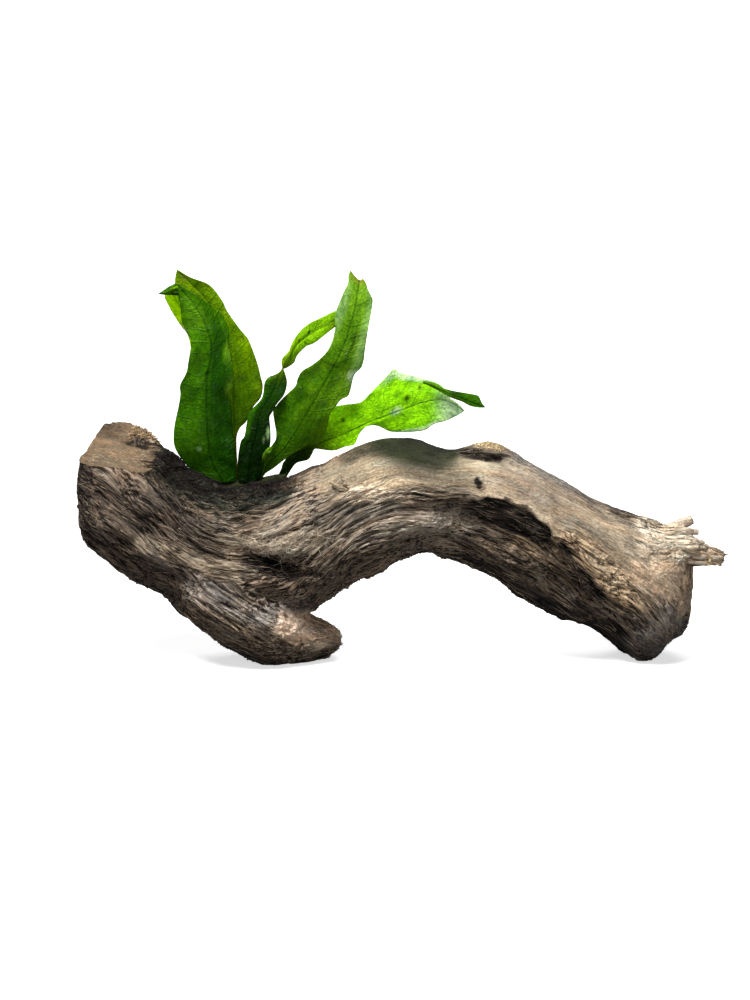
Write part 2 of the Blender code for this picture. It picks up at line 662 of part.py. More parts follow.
def main():
    """Build the whole piece."""
    clear_scene()
    collection = new_collection(NAME)
    cutters = new_collection("cutters")
    pieces = build_wood(collection, cutters)
    bpy.context.view_layer.update()
    graph = bpy.context.evaluated_depsgraph_get()
    build_fern(collection, BVHTree.FromObject(pieces["trunk"], graph))


main()
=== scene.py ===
"""Java fern on driftwood: a bent, weathered root with a sawn head, and a fern grown into its saddle.

Every position and size below is in millimetres in the part's own frame, unless its name says
otherwise: +X runs along the wood to the broken stub, -Y is the side that is looked at, +Z is up.
"""

import logging
import math
from dataclasses import dataclass
from enum import Enum

import bmesh
import bpy
import numpy as np
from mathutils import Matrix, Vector
from mathutils.kdtree import KDTree


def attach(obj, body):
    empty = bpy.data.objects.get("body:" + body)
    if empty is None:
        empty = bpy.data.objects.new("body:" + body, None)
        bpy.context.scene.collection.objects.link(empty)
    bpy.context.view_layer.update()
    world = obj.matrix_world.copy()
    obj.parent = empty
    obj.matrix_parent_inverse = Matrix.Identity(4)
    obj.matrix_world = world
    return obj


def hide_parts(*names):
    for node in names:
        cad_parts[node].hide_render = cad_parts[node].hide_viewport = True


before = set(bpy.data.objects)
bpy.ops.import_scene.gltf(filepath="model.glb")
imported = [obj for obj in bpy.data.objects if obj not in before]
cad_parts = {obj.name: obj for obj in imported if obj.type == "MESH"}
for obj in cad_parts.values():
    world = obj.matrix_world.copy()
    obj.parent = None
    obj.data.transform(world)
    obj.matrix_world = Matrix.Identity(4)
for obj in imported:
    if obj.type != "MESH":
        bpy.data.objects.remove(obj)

LOG = logging.getLogger("java_fern")
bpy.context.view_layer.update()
MM = 0.001
BODY = "root"
TINY = 1e-9
DRIFT_SEED, LUMP_SEED, STEM_SEED, ROOT_SEED, SHADE_SEED, STRAND_SEED = 5, 3, 77, 31, 8, 100

Colour = tuple[float, float, float]
Point = tuple[float, float, float]


def paint(red: int, green: int, blue: int) -> Colour:
    """Turn a colour of a screen (0 to 255) into the linear colour that a shader takes."""
    return tuple(((c / 255 + 0.055) / 1.055) ** 2.4 if c > 10 else c / 3294.6 for c in (red, green, blue))


def ramp(low: float, high: float, value: np.ndarray) -> np.ndarray:
    """Rise smoothly from 0 where value is low or less to 1 where it is high or more."""
    share = np.clip((value - low) / (high - low), 0.0, 1.0)
    return share * share * (3.0 - 2.0 * share)


class Noise:
    """Seeded gradient noise over points. It gives every relief, tint patch and wave its irregular run."""

    def __init__(self, seed: int) -> None:
        """Draw the slopes of the noise from a seed."""
        rng = np.random.default_rng(seed)
        slopes = rng.normal(size=(256, 3))
        self.order = rng.permutation(256)
        self.slopes = (slopes / np.linalg.norm(slopes, axis=1, keepdims=True)).astype(np.float32)

    def at(self, points: np.ndarray, cell: Point | float = 1.0) -> np.ndarray:
        """Noise at points, about -1 to 1.

        Args:
            points: Array of points, one a row.
            cell: Size of a cell of the noise, in all or along each axis.

        Returns:
            One value a point.
        """
        place = points / np.asarray(cell, float)
        corner = np.floor(place).astype(np.int64)
        part = (place - corner).astype(np.float32)
        fade = part**3 * (part * (part * 6 - 15) + 10)
        total = np.zeros(len(points), np.float32)
        for step in np.ndindex(2, 2, 2):
            index = self.order[(corner[:, 0] + step[0]) & 255]
            index = self.order[(index + corner[:, 1] + step[1]) & 255]
            index = self.order[(index + corner[:, 2] + step[2]) & 255]
            weight = np.prod(np.where(step, fade, 1 - fade), axis=1)
            total += weight * np.einsum("ij,ij->i", self.slopes[index], part - np.array(step, np.float32))
        return total * 1.7


def smooth_rows(rows: np.ndarray, places: np.ndarray) -> np.ndarray:
    """Read a smooth curve through rows of numbers.

    Args:
        rows: The rows that the curve passes through.
        places: Places along the curve, where the first row is 0 and the next is 1.

    Returns:
        One row a place.
    """
    index = np.clip(places.astype(int), 0, len(rows) - 2)
    part = (places - index)[:, None]
    a, b = rows[np.maximum(index - 1, 0)], rows[index]
    c, d = rows[index + 1], rows[np.minimum(index + 2, len(rows) - 1)]
    return 0.5 * (2 * b + (c - a) * part + (2 * a - 5 * b + 4 * c - d) * part**2
                  + (3 * b - a - 3 * c + d) * part**3)


def even_rows(rows: np.ndarray, count: int, width: int) -> np.ndarray:
    """Read a smooth curve through rows at even steps of its length.

    Args:
        rows: The rows that the curve passes through.
        count: How many rows to return.
        width: How many of the first numbers of a row are its position.

    Returns:
        The even rows.
    """
    fine = smooth_rows(rows, np.linspace(0, len(rows) - 1, 40 * (len(rows) - 1) + 1))
    walked = np.concatenate([[0.0], np.cumsum(np.linalg.norm(np.diff(fine[:, :width], axis=0), axis=1))])
    want = np.linspace(0, walked[-1], count)
    return np.stack([np.interp(want, walked, column) for column in fine.T], axis=1)


def near_path(points: np.ndarray, path: tuple, radii: Point) -> np.ndarray:
    """Distance from points to a path, in shares of its radii.

    Args:
        points: The points.
        path: The path's corners.
        radii: Its reach along X, Y and Z.

    Returns:
        One distance a point: 0 on the path, 1 at its reach.
    """
    scale = np.asarray(radii, float)
    spots, corners = points / scale, np.asarray(path, float) / scale
    best = np.linalg.norm(spots - corners[0], axis=1)
    for start, end in zip(corners, corners[1:]):
        run = end - start
        share = np.clip((spots - start) @ run / (run @ run), 0, 1)[:, None]
        best = np.minimum(best, np.linalg.norm(spots - start - share * run, axis=1))
    return best


def add_object(name: str, points: np.ndarray, faces: np.ndarray | list) -> bpy.types.Object:
    """Make a smooth mesh object of points in millimetres.

    Args:
        name: Its name.
        points: Its points.
        faces: Its faces, as rows of point numbers.

    Returns:
        The object, linked to the scene.
    """
    mesh = bpy.data.meshes.new(name)
    mesh.from_pydata((points * MM).tolist(), [], faces if isinstance(faces, list) else faces.tolist())
    mesh.shade_smooth()
    item = bpy.data.objects.new(name, mesh)
    bpy.context.scene.collection.objects.link(item)
    return item


def store(item: bpy.types.Object, name: str, values: np.ndarray) -> None:
    """Keep values on an object's points for its material to read.

    Args:
        item: The object.
        name: Name of the values.
        values: One number, or one row of three numbers, a point.
    """
    kind, field_name = ("FLOAT", "value") if values.ndim == 1 else ("FLOAT_VECTOR", "vector")
    layer = item.data.attributes.new(name, kind, "POINT")
    layer.data.foreach_set(field_name, np.ascontiguousarray(values, np.float32).ravel())


def read(parts: bpy.types.bpy_prop_collection, name: str, width: int, kind: type = np.float32) -> np.ndarray:
    """Read one property of all of a mesh's parts of a kind.

    Args:
        parts: The parts, such as the mesh's vertices.
        name: Name of the property.
        width: How many numbers each part has.
        kind: The numbers' type.

    Returns:
        One row a part.
    """
    values = np.empty(len(parts) * width, kind)
    parts.foreach_get(name, values)
    return values.reshape(-1, width)


def fetch(mesh: bpy.types.Mesh) -> tuple[np.ndarray, np.ndarray]:
    """A mesh's points in millimetres, and its points' normals."""
    points, normals = read(mesh.vertices, "co", 3), read(mesh.vertex_normals, "vector", 3)
    return points.astype(float) / MM, normals.astype(float)


def move_points(item: bpy.types.Object, points: np.ndarray) -> None:
    """Move an object's points to new places in millimetres."""
    item.data.vertices.foreach_set("co", (points * MM).astype(np.float32).ravel())


def unit(vectors: np.ndarray) -> np.ndarray:
    """Bring vectors to a length of 1."""
    return vectors / (np.linalg.norm(vectors, axis=-1, keepdims=True) + TINY)


def tube_object(name: str, paths: np.ndarray, radii: np.ndarray, sides: int = 3) -> bpy.types.Object:
    """Make one object of many tapered tubes, each closed at its ends.

    Args:
        name: Its name.
        paths: Points of each strand: strands by points by three.
        radii: Radius at each of those points.
        sides: Sides of a tube.

    Returns:
        The object.
    """
    count, knots = radii.shape
    along = unit(np.gradient(paths, axis=1))
    guide = np.where(np.abs(along[:, :1, 1:2]) < 0.8, [[[0.0, 1.0, 0.0]]], [[[1.0, 0.0, 0.0]]])
    side = unit(np.cross(along, guide))
    other = np.cross(along, side)
    turns = np.arange(sides) / sides * 2 * math.pi
    ring = side[:, :, None] * np.cos(turns)[:, None] + other[:, :, None] * np.sin(turns)[:, None]
    points = paths[:, :, None] + ring * radii[:, :, None, None]
    number = np.arange(count * knots * sides).reshape(count, knots, sides)
    after = np.roll(number, -1, axis=2)
    walls = np.stack([number[:, :-1], after[:, :-1], after[:, 1:], number[:, 1:]], axis=-1)
    ends = np.concatenate([number[:, 0, ::-1], number[:, -1]])
    return add_object(name, points.reshape(-1, 3), walls.reshape(-1, 4).tolist() + ends.tolist())


def dress(item: bpy.types.Object, finish: bpy.types.Material, slot: str, *nodes: str) -> bpy.types.Object:
    """Give a piece its finish, hang it on the body and hide the nodes of the part that it replaces.

    Args:
        item: The piece.
        finish: Its material.
        slot: Not used.
        *nodes: The nodes of the part that it replaces.

    Returns:
        The piece.
    """
    item.data.materials.append(finish)
    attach(item, BODY)
    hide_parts(*nodes)
    LOG.info("%s: %d faces", item.name, len(item.data.polygons))
    return item


class Shader:
    """A material or node group under construction, with short calls for its nodes."""

    def __init__(self, tree: bpy.types.NodeTree) -> None:
        """Start on a node tree."""
        self.tree = tree

    def node(self, kind: str, settings: dict | None = None, **sockets: object) -> bpy.types.Node:
        """Add a node.

        Args:
            kind: Its type name without the ShaderNode prefix, or in full for a group's ends.
            settings: Properties of the node.
            **sockets: Values or output sockets for its inputs, by name or as i0, i1 and so on.

        Returns:
            The node.
        """
        made = self.tree.nodes.new(kind if kind.startswith("NodeGroup") else "ShaderNode" + kind)
        for key, value in (settings or {}).items():
            setattr(made, key, value)
        for key, value in sockets.items():
            number = key[1:]
            socket = made.inputs[int(number)] if number.isdigit() else made.inputs[key.replace("_", " ")]
            if isinstance(value, bpy.types.NodeSocket):
                self.tree.links.new(value, socket)
            else:
                socket.default_value = value
        return made

    def math(self, operation: str, first: object, second: object = 0.0) -> bpy.types.NodeSocket:
        """Add a math node and return its value."""
        return self.node("Math", {"operation": operation}, i0=first, i1=second).outputs[0]

    def vector_math(self, operation: str, first: object, second: object) -> bpy.types.NodeSocket:
        """Add a vector math node and return its vector."""
        return self.node("VectorMath", {"operation": operation}, i0=first, i1=second).outputs[0]

    def mix(self, share: object, first: object, second: object, blend: str = "MIX") -> bpy.types.NodeSocket:
        """Mix two colours.

        Args:
            share: How much of the second.
            first: First colour or socket.
            second: Second colour or socket.
            blend: Blend mode.

        Returns:
            The mixed colour.
        """
        settings = {"data_type": "RGBA", "blend_type": blend, "clamp_factor": True}
        first, second = (c if isinstance(c, bpy.types.NodeSocket) else (*c, 1.0) for c in (first, second))
        return self.node("Mix", settings, i0=share, i6=first, i7=second).outputs[2]

    def scaled(self, colour: object, factor: Colour) -> bpy.types.NodeSocket:
        """Scale a colour's red, green and blue by a factor each."""
        return self.mix(1.0, colour, factor, "MULTIPLY")

    def toned(self, share: object, colour: object, factor: Colour) -> bpy.types.NodeSocket:
        """Scale a colour by a factor as far as a share says."""
        return self.mix(share, colour, self.scaled(colour, factor))

    def varied(self, share: object, colour: object, factors: tuple[Colour, Colour]) -> bpy.types.NodeSocket:
        """Scale a colour by the first factor where a share is 0 and by the second where it is 1."""
        return self.mix(share, self.scaled(colour, factors[0]), self.scaled(colour, factors[1]))

    def value(self, name: str) -> bpy.types.NodeSocket:
        """Return a number that was stored on the points."""
        return self.node("Attribute", {"attribute_name": name}).outputs["Fac"]

    def vector(self, name: str) -> bpy.types.NodeSocket:
        """Return a vector or colour that was stored on the points."""
        return self.node("Attribute", {"attribute_name": name}).outputs["Vector"]

    def noise(self, vector: object, scale: Point, detail: float = 2.0) -> bpy.types.NodeSocket:
        """Add a noise texture.

        Args:
            vector: Socket of the coordinates.
            scale: Cells a unit along each axis.
            detail: Layers of finer noise.

        Returns:
            The noise, from 0 to 1.
        """
        place = self.vector_math("MULTIPLY", vector, scale)
        return self.node("TexNoise", None, Vector=place, Scale=1.0, Detail=detail).outputs["Fac"]

    def spread(self, value: object, low: float, high: float, to_low: float = 0.0,
               to_high: float = 1.0) -> bpy.types.NodeSocket:
        """Map a range of values to another, held at its ends."""
        return self.node("MapRange", None, Value=value, i1=low, i2=high, i3=to_low, i4=to_high).outputs[0]

    def feed(self, target: bpy.types.Node, **values: bpy.types.NodeSocket) -> None:
        """Link outputs to a node's inputs, by name with _ for a space."""
        for label, value in values.items():
            self.tree.links.new(value, target.inputs[label.replace("_", " ")])


def new_material(name: str) -> tuple[bpy.types.Material, Shader, bpy.types.Node]:
    """Start a material.

    Args:
        name: Its name.

    Returns:
        The material, a shader to build in and the material's Principled BSDF.
    """
    material = bpy.data.materials.new(name)
    material.use_nodes = True
    return material, Shader(material.node_tree), material.node_tree.nodes["Principled BSDF"]


def new_group(name: str, inputs: dict[str, str], outputs: dict[str, str]) -> tuple[Shader, dict, dict]:
    """Start a shader node group.

    Args:
        name: Its name.
        inputs: Socket types by input name.
        outputs: Socket types by output name.

    Returns:
        The shader to build in, the group's input sockets by name, and its output sockets by name.
    """
    tree = bpy.data.node_groups.new(name, "ShaderNodeTree")
    for label, kind in inputs.items():
        tree.interface.new_socket(label, in_out="INPUT", socket_type="NodeSocket" + kind)
    for label, kind in outputs.items():
        tree.interface.new_socket(label, in_out="OUTPUT", socket_type="NodeSocket" + kind)
    shader = Shader(tree)
    start, end = shader.node("NodeGroupInput"), shader.node("NodeGroupOutput")
    return shader, {s.name: s for s in start.outputs}, {s.name: s for s in end.inputs}


# Cells a millimetre of the wood's and the leaves' noise: along, across and in depth.
WAVER_CELLS, COARSE_CELLS, FINE_CELLS = (0.06, 0.2, 0.2), (0.026, 0.88, 0.88), (0.14, 2.4, 2.4)
PATCH_CELLS, FUZZ_CELLS, HUE_CELLS = (0.09, 0.16, 0.16), (0.8, 1.6, 1.6), (0.07, 0.18, 0.18)
BLOTCH_CELLS, STREAK_CELLS, WRINKLE_CELLS = (0.16, 0.22, 1.0), (0.22, 0.9, 1.0), (0.9, 1.5, 1.0)
WET_CELLS, RIPPLE_CELLS, VEIN_CELLS = (0.11, 0.16, 1.0), (0.22, 0.3, 1.0), (0.12, 0.12, 1.0)


def fibre_group() -> bpy.types.NodeTree:
    """Fine wood fibres that run along the grain.

    Returns:
        A group that takes the grain's coordinates and gives a fibre value and a height.
    """
    shader, given, made = new_group(
        "wood_fibre", {"Grain": "Vector", "Length": "Float"}, {"Fibre": "Float", "Height": "Float"}
    )
    stretch = shader.node("CombineXYZ", None, i0=given["Length"], i1=1.0, i2=1.0).outputs[0]
    place = shader.vector_math("MULTIPLY", given["Grain"], stretch)
    waver = shader.spread(shader.noise(place, WAVER_CELLS, 2.0), 0.2, 0.8, -0.9, 0.9)
    waver = shader.node("CombineXYZ", None, i0=0.0, i1=waver, i2=waver).outputs[0]
    place = shader.vector_math("ADD", place, waver)
    coarse = shader.noise(place, COARSE_CELLS, 3.0)
    fine = shader.noise(place, FINE_CELLS, 3.0)
    ridge, gap = (
        shader.spread(shader.math("ABSOLUTE", shader.math("SUBTRACT", coarse, middle)), 0.0, 0.05, height, 0.0)
        for middle, height in ((0.47, 0.6), (0.57, 0.45))
    )
    fibre = shader.math("ADD", shader.math("SUBTRACT", ridge, gap), shader.math("MULTIPLY", fine, 0.5))
    tree = shader.tree
    tree.links.new(shader.spread(fibre, -0.1, 0.75), made["Fibre"])
    tree.links.new(fibre, made["Height"])
    return tree


def speckle_group() -> bpy.types.NodeTree:
    """Small scattered spots, for grit on wood and blemishes on leaves.

    Returns:
        A group that takes coordinates, a cell size and an amount, and gives a mask.
    """
    shader, given, made = new_group(
        "speckle", {"Place": "Vector", "Cells": "Float", "Amount": "Float"}, {"Mask": "Float"}
    )
    wobble = shader.noise(given["Place"], (0.9, 0.9, 0.9), 2.0)
    shifted = shader.vector_math("ADD", given["Place"], wobble)
    cells = shader.node(
        "TexVoronoi", {"feature": "F1"}, Vector=shifted, Scale=given["Cells"], Randomness=1.0
    ).outputs["Distance"]
    mask = shader.math("LESS_THAN", cells, given["Amount"])
    soft = shader.math("MULTIPLY", mask, shader.spread(wobble, 0.4, 0.6))
    shader.tree.links.new(soft, made["Mask"])
    return shader.tree


@dataclass(frozen=True)
class WoodFinish:
    """Weathered wood: its contrast, roughness and bump, and factors that its tint is scaled by.

    Of a pair of factors, the first holds where the pattern is low and the second where it is high.
    """

    name: str
    # furrow and crest scale the tint in the relief's furrows and on its crests: partly the weathered wood's own
    # colour, partly painted shade and painted highlight.
    furrow: Colour
    contrast: float
    roughness: float
    bump_mm: float
    crest: Colour = (1.5, 1.5, 1.5)
    mottle: tuple[Colour, Colour] = ((0.6, 0.6, 0.62), (1.42, 1.39, 1.35))
    hues: tuple[Colour, Colour] = ((0.94, 1.0, 1.05), (1.07, 0.99, 0.92))
    grit: Colour = (0.35, 0.33, 0.33)

    def material(self, fibre: bpy.types.NodeTree, speckle: bpy.types.NodeTree) -> bpy.types.Material:
        """Build the material.

        Args:
            fibre: The wood_fibre group.
            speckle: The speckle group.

        Returns:
            The material.
        """
        material, shader, skin = new_material(self.name)
        grain, relief, tint = shader.vector("grain"), shader.value("relief"), shader.vector("tint")
        worn = shader.spread(shader.value("rough"), 0.15, 0.95, 0.06, 1.0)
        fibres = shader.node("Group", {"node_tree": fibre}, Grain=grain, Length=1.0)
        grit = shader.node("Group", {"node_tree": speckle}, Place=grain, Cells=0.9, Amount=0.28)
        wobble = shader.math("MULTIPLY", shader.math("SUBTRACT", fibres.outputs["Fibre"], 0.4), 1.15)
        level = shader.math("ADD", relief, shader.math("MULTIPLY", wobble, worn))
        # Dark furrows and pale crests from the relief value: partly the wood's own colour, partly painted shade and
        # painted highlight.
        light = shader.math("POWER", shader.spread(level, 0.1, 0.7), self.contrast)
        colour = shader.mix(light, shader.scaled(tint, self.furrow), tint)
        colour = shader.mix(shader.spread(level, 0.7, 1.0, 0.0, 0.6), colour, shader.scaled(tint, self.crest))
        patch = shader.math("MULTIPLY", shader.noise(grain, PATCH_CELLS, 2.0), 0.32)
        fuzz = shader.math("MULTIPLY", shader.noise(grain, FUZZ_CELLS, 4.0), 0.68)
        mottled = shader.varied(shader.spread(shader.math("ADD", patch, fuzz), 0.4, 0.6), colour, self.mottle)
        colour = shader.mix(shader.spread(worn, 0.2, 0.9, 0.9, 0.45), colour, mottled)
        hue = shader.noise(grain, HUE_CELLS, 3.0)
        colour = shader.varied(shader.spread(hue, 0.35, 0.65), colour, self.hues)
        speck = shader.math("MULTIPLY", shader.math("MULTIPLY", grit.outputs["Mask"], worn), 0.45)
        colour = shader.toned(speck, colour, self.grit)
        rough = shader.spread(light, 0.0, 1.0, min(1.0, self.roughness + 0.1), self.roughness - 0.08)
        height = shader.math("MULTIPLY", fibres.outputs["Height"], worn)
        height = shader.math("ADD", height, shader.math("MULTIPLY", relief, 0.3))
        height = shader.math("ADD", height, shader.math("MULTIPLY", fuzz, 0.45))
        bump = shader.node("Bump", None, Strength=1.0, Distance=self.bump_mm * MM, Height=height)
        shader.feed(skin, Base_Color=colour, Roughness=rough, Normal=bump.outputs[0])
        skin.inputs["Specular IOR Level"].default_value = 0.25
        return material


@dataclass(frozen=True)
class LeafFinish:
    """Wet, waxy leaf: its veins, gloss and the light that it lets through.

    The colours but spot are factors on the leaf's own tint, in pairs where a pattern is low and high.
    """

    name: str
    vein: Colour
    glow: float
    roughness: float
    gloss: float
    spots: float
    wetness: float
    blotches: tuple[Colour, Colour] = ((0.66, 0.78, 0.7), (1.32, 1.2, 1.15))
    streaks: tuple[Colour, Colour] = ((0.55, 0.68, 0.6), (1.5, 1.35, 1.3))
    wrinkles: tuple[Colour, Colour] = ((0.92, 0.94, 0.92), (1.26, 1.2, 1.2))
    spot: Colour = (0.012, 0.02, 0.006)

    def material(self, speckle: bpy.types.NodeTree, veins: bpy.types.NodeTree) -> bpy.types.Material:
        """Build the material.

        Args:
            speckle: The speckle group.
            veins: The leaf_veins group.

        Returns:
            The material.
        """
        material, shader, skin = new_material(self.name)
        place, tint = shader.vector("leaf_place"), shader.vector("tint")
        net = shader.node("Group", {"node_tree": veins}, Place=place)
        spots = shader.node("Group", {"node_tree": speckle}, Place=place, Cells=0.16, Amount=self.spots)
        blotch = shader.noise(place, BLOTCH_CELLS, 4.0)
        streak = shader.noise(place, STREAK_CELLS, 3.0)
        wrinkle = shader.noise(place, WRINKLE_CELLS, 4.0)
        colour = shader.varied(shader.spread(blotch, 0.33, 0.67), tint, self.blotches)
        colour = shader.toned(shader.spread(streak, 0.5, 0.7, 0.0, 0.5), colour, self.streaks[1])
        colour = shader.toned(shader.spread(streak, 0.5, 0.32, 0.0, 0.5), colour, self.streaks[0])
        colour = shader.toned(shader.math("MULTIPLY", net.outputs["Net"], 0.28), colour, self.vein)
        colour = shader.varied(shader.spread(wrinkle, 0.36, 0.64), colour, self.wrinkles)
        colour = shader.toned(shader.math("MULTIPLY", net.outputs["Rib"], 0.75), colour, self.vein)
        colour = shader.mix(spots.outputs["Mask"], colour, self.spot)
        rough = shader.spread(blotch, 0.3, 0.7, self.roughness + 0.12, self.roughness - 0.06)
        wet = shader.spread(shader.noise(place, WET_CELLS, 2.0), 0.54, 0.66, 0.0, self.wetness)
        height = shader.math("ADD", shader.noise(place, RIPPLE_CELLS, 4.0), shader.math("MULTIPLY", wrinkle, 0.3))
        for mask, depth in (("Net", 0.35), ("Rib", 0.5)):
            height = shader.math("SUBTRACT", height, shader.math("MULTIPLY", net.outputs[mask], depth))
        bump = shader.node("Bump", None, Strength=0.9, Distance=0.9 * MM, Height=height).outputs[0]
        shader.feed(skin, Base_Color=colour, Roughness=rough, Coat_Weight=wet, Normal=bump, Coat_Normal=bump)
        skin.inputs["Coat Roughness"].default_value = 0.18
        skin.inputs["Specular IOR Level"].default_value = self.gloss
        through = shader.node("BsdfTranslucent", None, Color=colour)
        blend = shader.node("MixShader", None, i0=self.glow, i1=skin.outputs[0], i2=through.outputs[0])
        shader.feed(material.node_tree.nodes["Material Output"], Surface=blend.outputs[0])
        return material


def vein_group() -> bpy.types.NodeTree:
    """A leaf's midrib, side veins and fine net.

    Returns:
        A group that takes a place on the leaf (mm along, mm across, 0) and gives two masks.
    """
    shader, given, made = new_group("leaf_veins", {"Place": "Vector"}, {"Rib": "Float", "Net": "Float"})
    parts = shader.node("SeparateXYZ", None, Vector=given["Place"])
    across = shader.math("ABSOLUTE", parts.outputs[1])
    rib = shader.spread(across, 0.15, 0.7, 1.0, 0.0)
    wobble = shader.noise(given["Place"], VEIN_CELLS, 2.0)
    slant = shader.math("SUBTRACT", parts.outputs[0], shader.math("MULTIPLY", across, 0.55))
    slant = shader.math("ADD", slant, shader.math("MULTIPLY", wobble, 5.0))
    wave = shader.math("SINE", shader.math("MULTIPLY", slant, 1.15))
    side = shader.spread(wave, 0.86, 1.0)
    cells = shader.node(
        "TexVoronoi", {"feature": "DISTANCE_TO_EDGE"}, Vector=given["Place"], Scale=0.42, Randomness=1.0
    ).outputs["Distance"]
    net = shader.math("MAXIMUM", shader.spread(cells, 0.02, 0.09, 0.8, 0.0), side)
    shader.tree.links.new(rib, made["Rib"])
    shader.tree.links.new(net, made["Net"])
    return shader.tree


@dataclass(frozen=True)
class Grain:
    """How the fibres run through a limb.

    lines go across it, each from its lower to its upper edge (x, z), and width is the distance
    from edge to edge that the grain's coordinates count everywhere.
    """

    lines: tuple
    width: float

    def read(self, points: np.ndarray) -> tuple[np.ndarray, np.ndarray]:
        """Find where points lie in the grain.

        Args:
            points: The points.

        Returns:
            Each point's place along the fibres, across them and in depth, and the fibres' direction.
        """
        table = smooth_rows(np.array([[*low, *top] for low, top in self.lines], float),
                            np.linspace(0, len(self.lines) - 1, 120))
        low, top = table[:, :2], table[:, 2:]
        middle = (low + top) / 2
        length = np.linalg.norm(top - low, axis=1)
        up = (top - low) / length[:, None]
        ahead = np.stack([up[:, 1], -up[:, 0]], axis=1)
        walked = np.concatenate([[0.0], np.cumsum(np.linalg.norm(np.diff(middle, axis=0), axis=1))])
        places, flows = [], []
        for part in np.array_split(points, max(1, len(points) // 20000)):
            flat = part[:, [0, 2]]
            past = flat @ ahead.T - np.sum(middle * ahead, axis=1)
            rise = (flat @ up.T - np.sum(middle * up, axis=1)) / length
            between = (past[:, :-1] >= 0) & (past[:, 1:] < 0)
            cost = np.where(between, np.abs(rise[:, :-1]), np.inf)
            index = np.argmin(cost, axis=1)
            lost = ~between.any(axis=1)
            index[lost] = np.where(past[lost, 0] < 0, 0, past.shape[1] - 2)
            rows = np.arange(len(part))
            here, there = past[rows, index], past[rows, index + 1]
            share = here / (here - there)
            along = walked[index] + share * (walked[index + 1] - walked[index])
            held = np.clip(share, 0, 1)
            across = rise[rows, index] * (1 - held) + rise[rows, index + 1] * held
            drawn = np.clip(0.8 * self.width / length[index], 1.0, 3.0)
            places.append(np.stack([along, across * self.width, part[:, 1] * drawn], axis=1))
            flow = ahead[index] * (1 - held)[:, None] + ahead[index + 1] * held[:, None]
            flows.append(np.stack([flow[:, 0], np.zeros(len(part)), flow[:, 1]], axis=1))
        return np.concatenate(places), np.concatenate(flows)


@dataclass(frozen=True)
class Zone:
    """A stretch of the wood with a colour and surface of its own; a few zones hold painted shade and one a painted
    sheen.

    path and radii say where it is, tint is its crests' colour, depth how strongly the tint holds,
    rough how much of the wood's relief is left in it, and lift how much paler its furrows are.
    """

    path: tuple
    radii: Point
    tint: Colour
    depth: float
    rough: float = 1.0
    lift: float = 0.0

    def share(self, points: np.ndarray) -> np.ndarray:
        """How much each point belongs to the zone, from 0 to 1."""
        return 1.0 - ramp(0.55, 1.25, near_path(points, self.path, self.radii))


FRONT = (-8.0, -14.0)  # Y over which a point comes to count as the wood's front


@dataclass(frozen=True)
class Ledge:
    """A line (x, z) on the front of the wood where an upper slab stands out over a hollow with painted shade.

    reach is how far the hollow goes under the line, drop how deep it is and tone how dark its painted shade is.
    """

    line: tuple
    reach: float
    drop: float
    tone: float

    def sides(self, points: np.ndarray) -> tuple[np.ndarray, np.ndarray]:
        """How much each point lies just under and just over the line.

        Args:
            points: The points.

        Returns:
            Two shares from 0 to 1 a point: under the line, and over it.
        """
        flat, corners = points[:, [0, 2]], np.array(self.line, float)
        best, rise = np.full(len(flat), np.inf), np.zeros(len(flat))
        for start, end in zip(corners, corners[1:]):
            run = end - start
            share = np.clip((flat - start) @ run / (run @ run), 0, 1)
            away = flat - start - share[:, None] * run
            distance = np.linalg.norm(away, axis=1)
            turned = (away @ np.array([-run[1], run[0]])) / np.linalg.norm(run)
            closer = distance < best
            best, rise = np.where(closer, distance, best), np.where(closer, turned, rise)
        front = ramp(*FRONT, points[:, 1]) * ramp(self.reach, self.reach * 0.35, best)
        edge = np.clip(best / 1.6, 0, 1)
        first, last = corners[0, 0], corners[-1, 0]
        front = front * ramp(first - 2, first + 8, flat[:, 0]) * ramp(last + 4, last - 6, flat[:, 0])
        return front * (rise < 0) * edge, front * (rise >= 0) * ramp(3.0, 0.0, best)


@dataclass(frozen=True)
class Dent:
    """A raised or sunken stretch of the wood along a path."""

    path: tuple
    radius: float
    push: float

    def near(self, points: np.ndarray) -> np.ndarray:
        """How near each point lies to the path, from 1 on it down to 0."""
        return np.exp(-(near_path(points, self.path, (self.radius,) * 3) ** 2))


TAN, PALE, BONE = paint(200, 182, 156), paint(196, 180, 150), paint(255, 238, 210)
BROWN, UMBER, COAL = paint(168, 149, 129), paint(74, 64, 57), paint(28, 26, 26)
ALGAE, RUST, SAWN = paint(52, 58, 32), paint(255, 224, 194), paint(140, 118, 91)
DUSK, SAND, PITCH = paint(104, 91, 80), paint(240, 208, 168), paint(20, 18, 18)
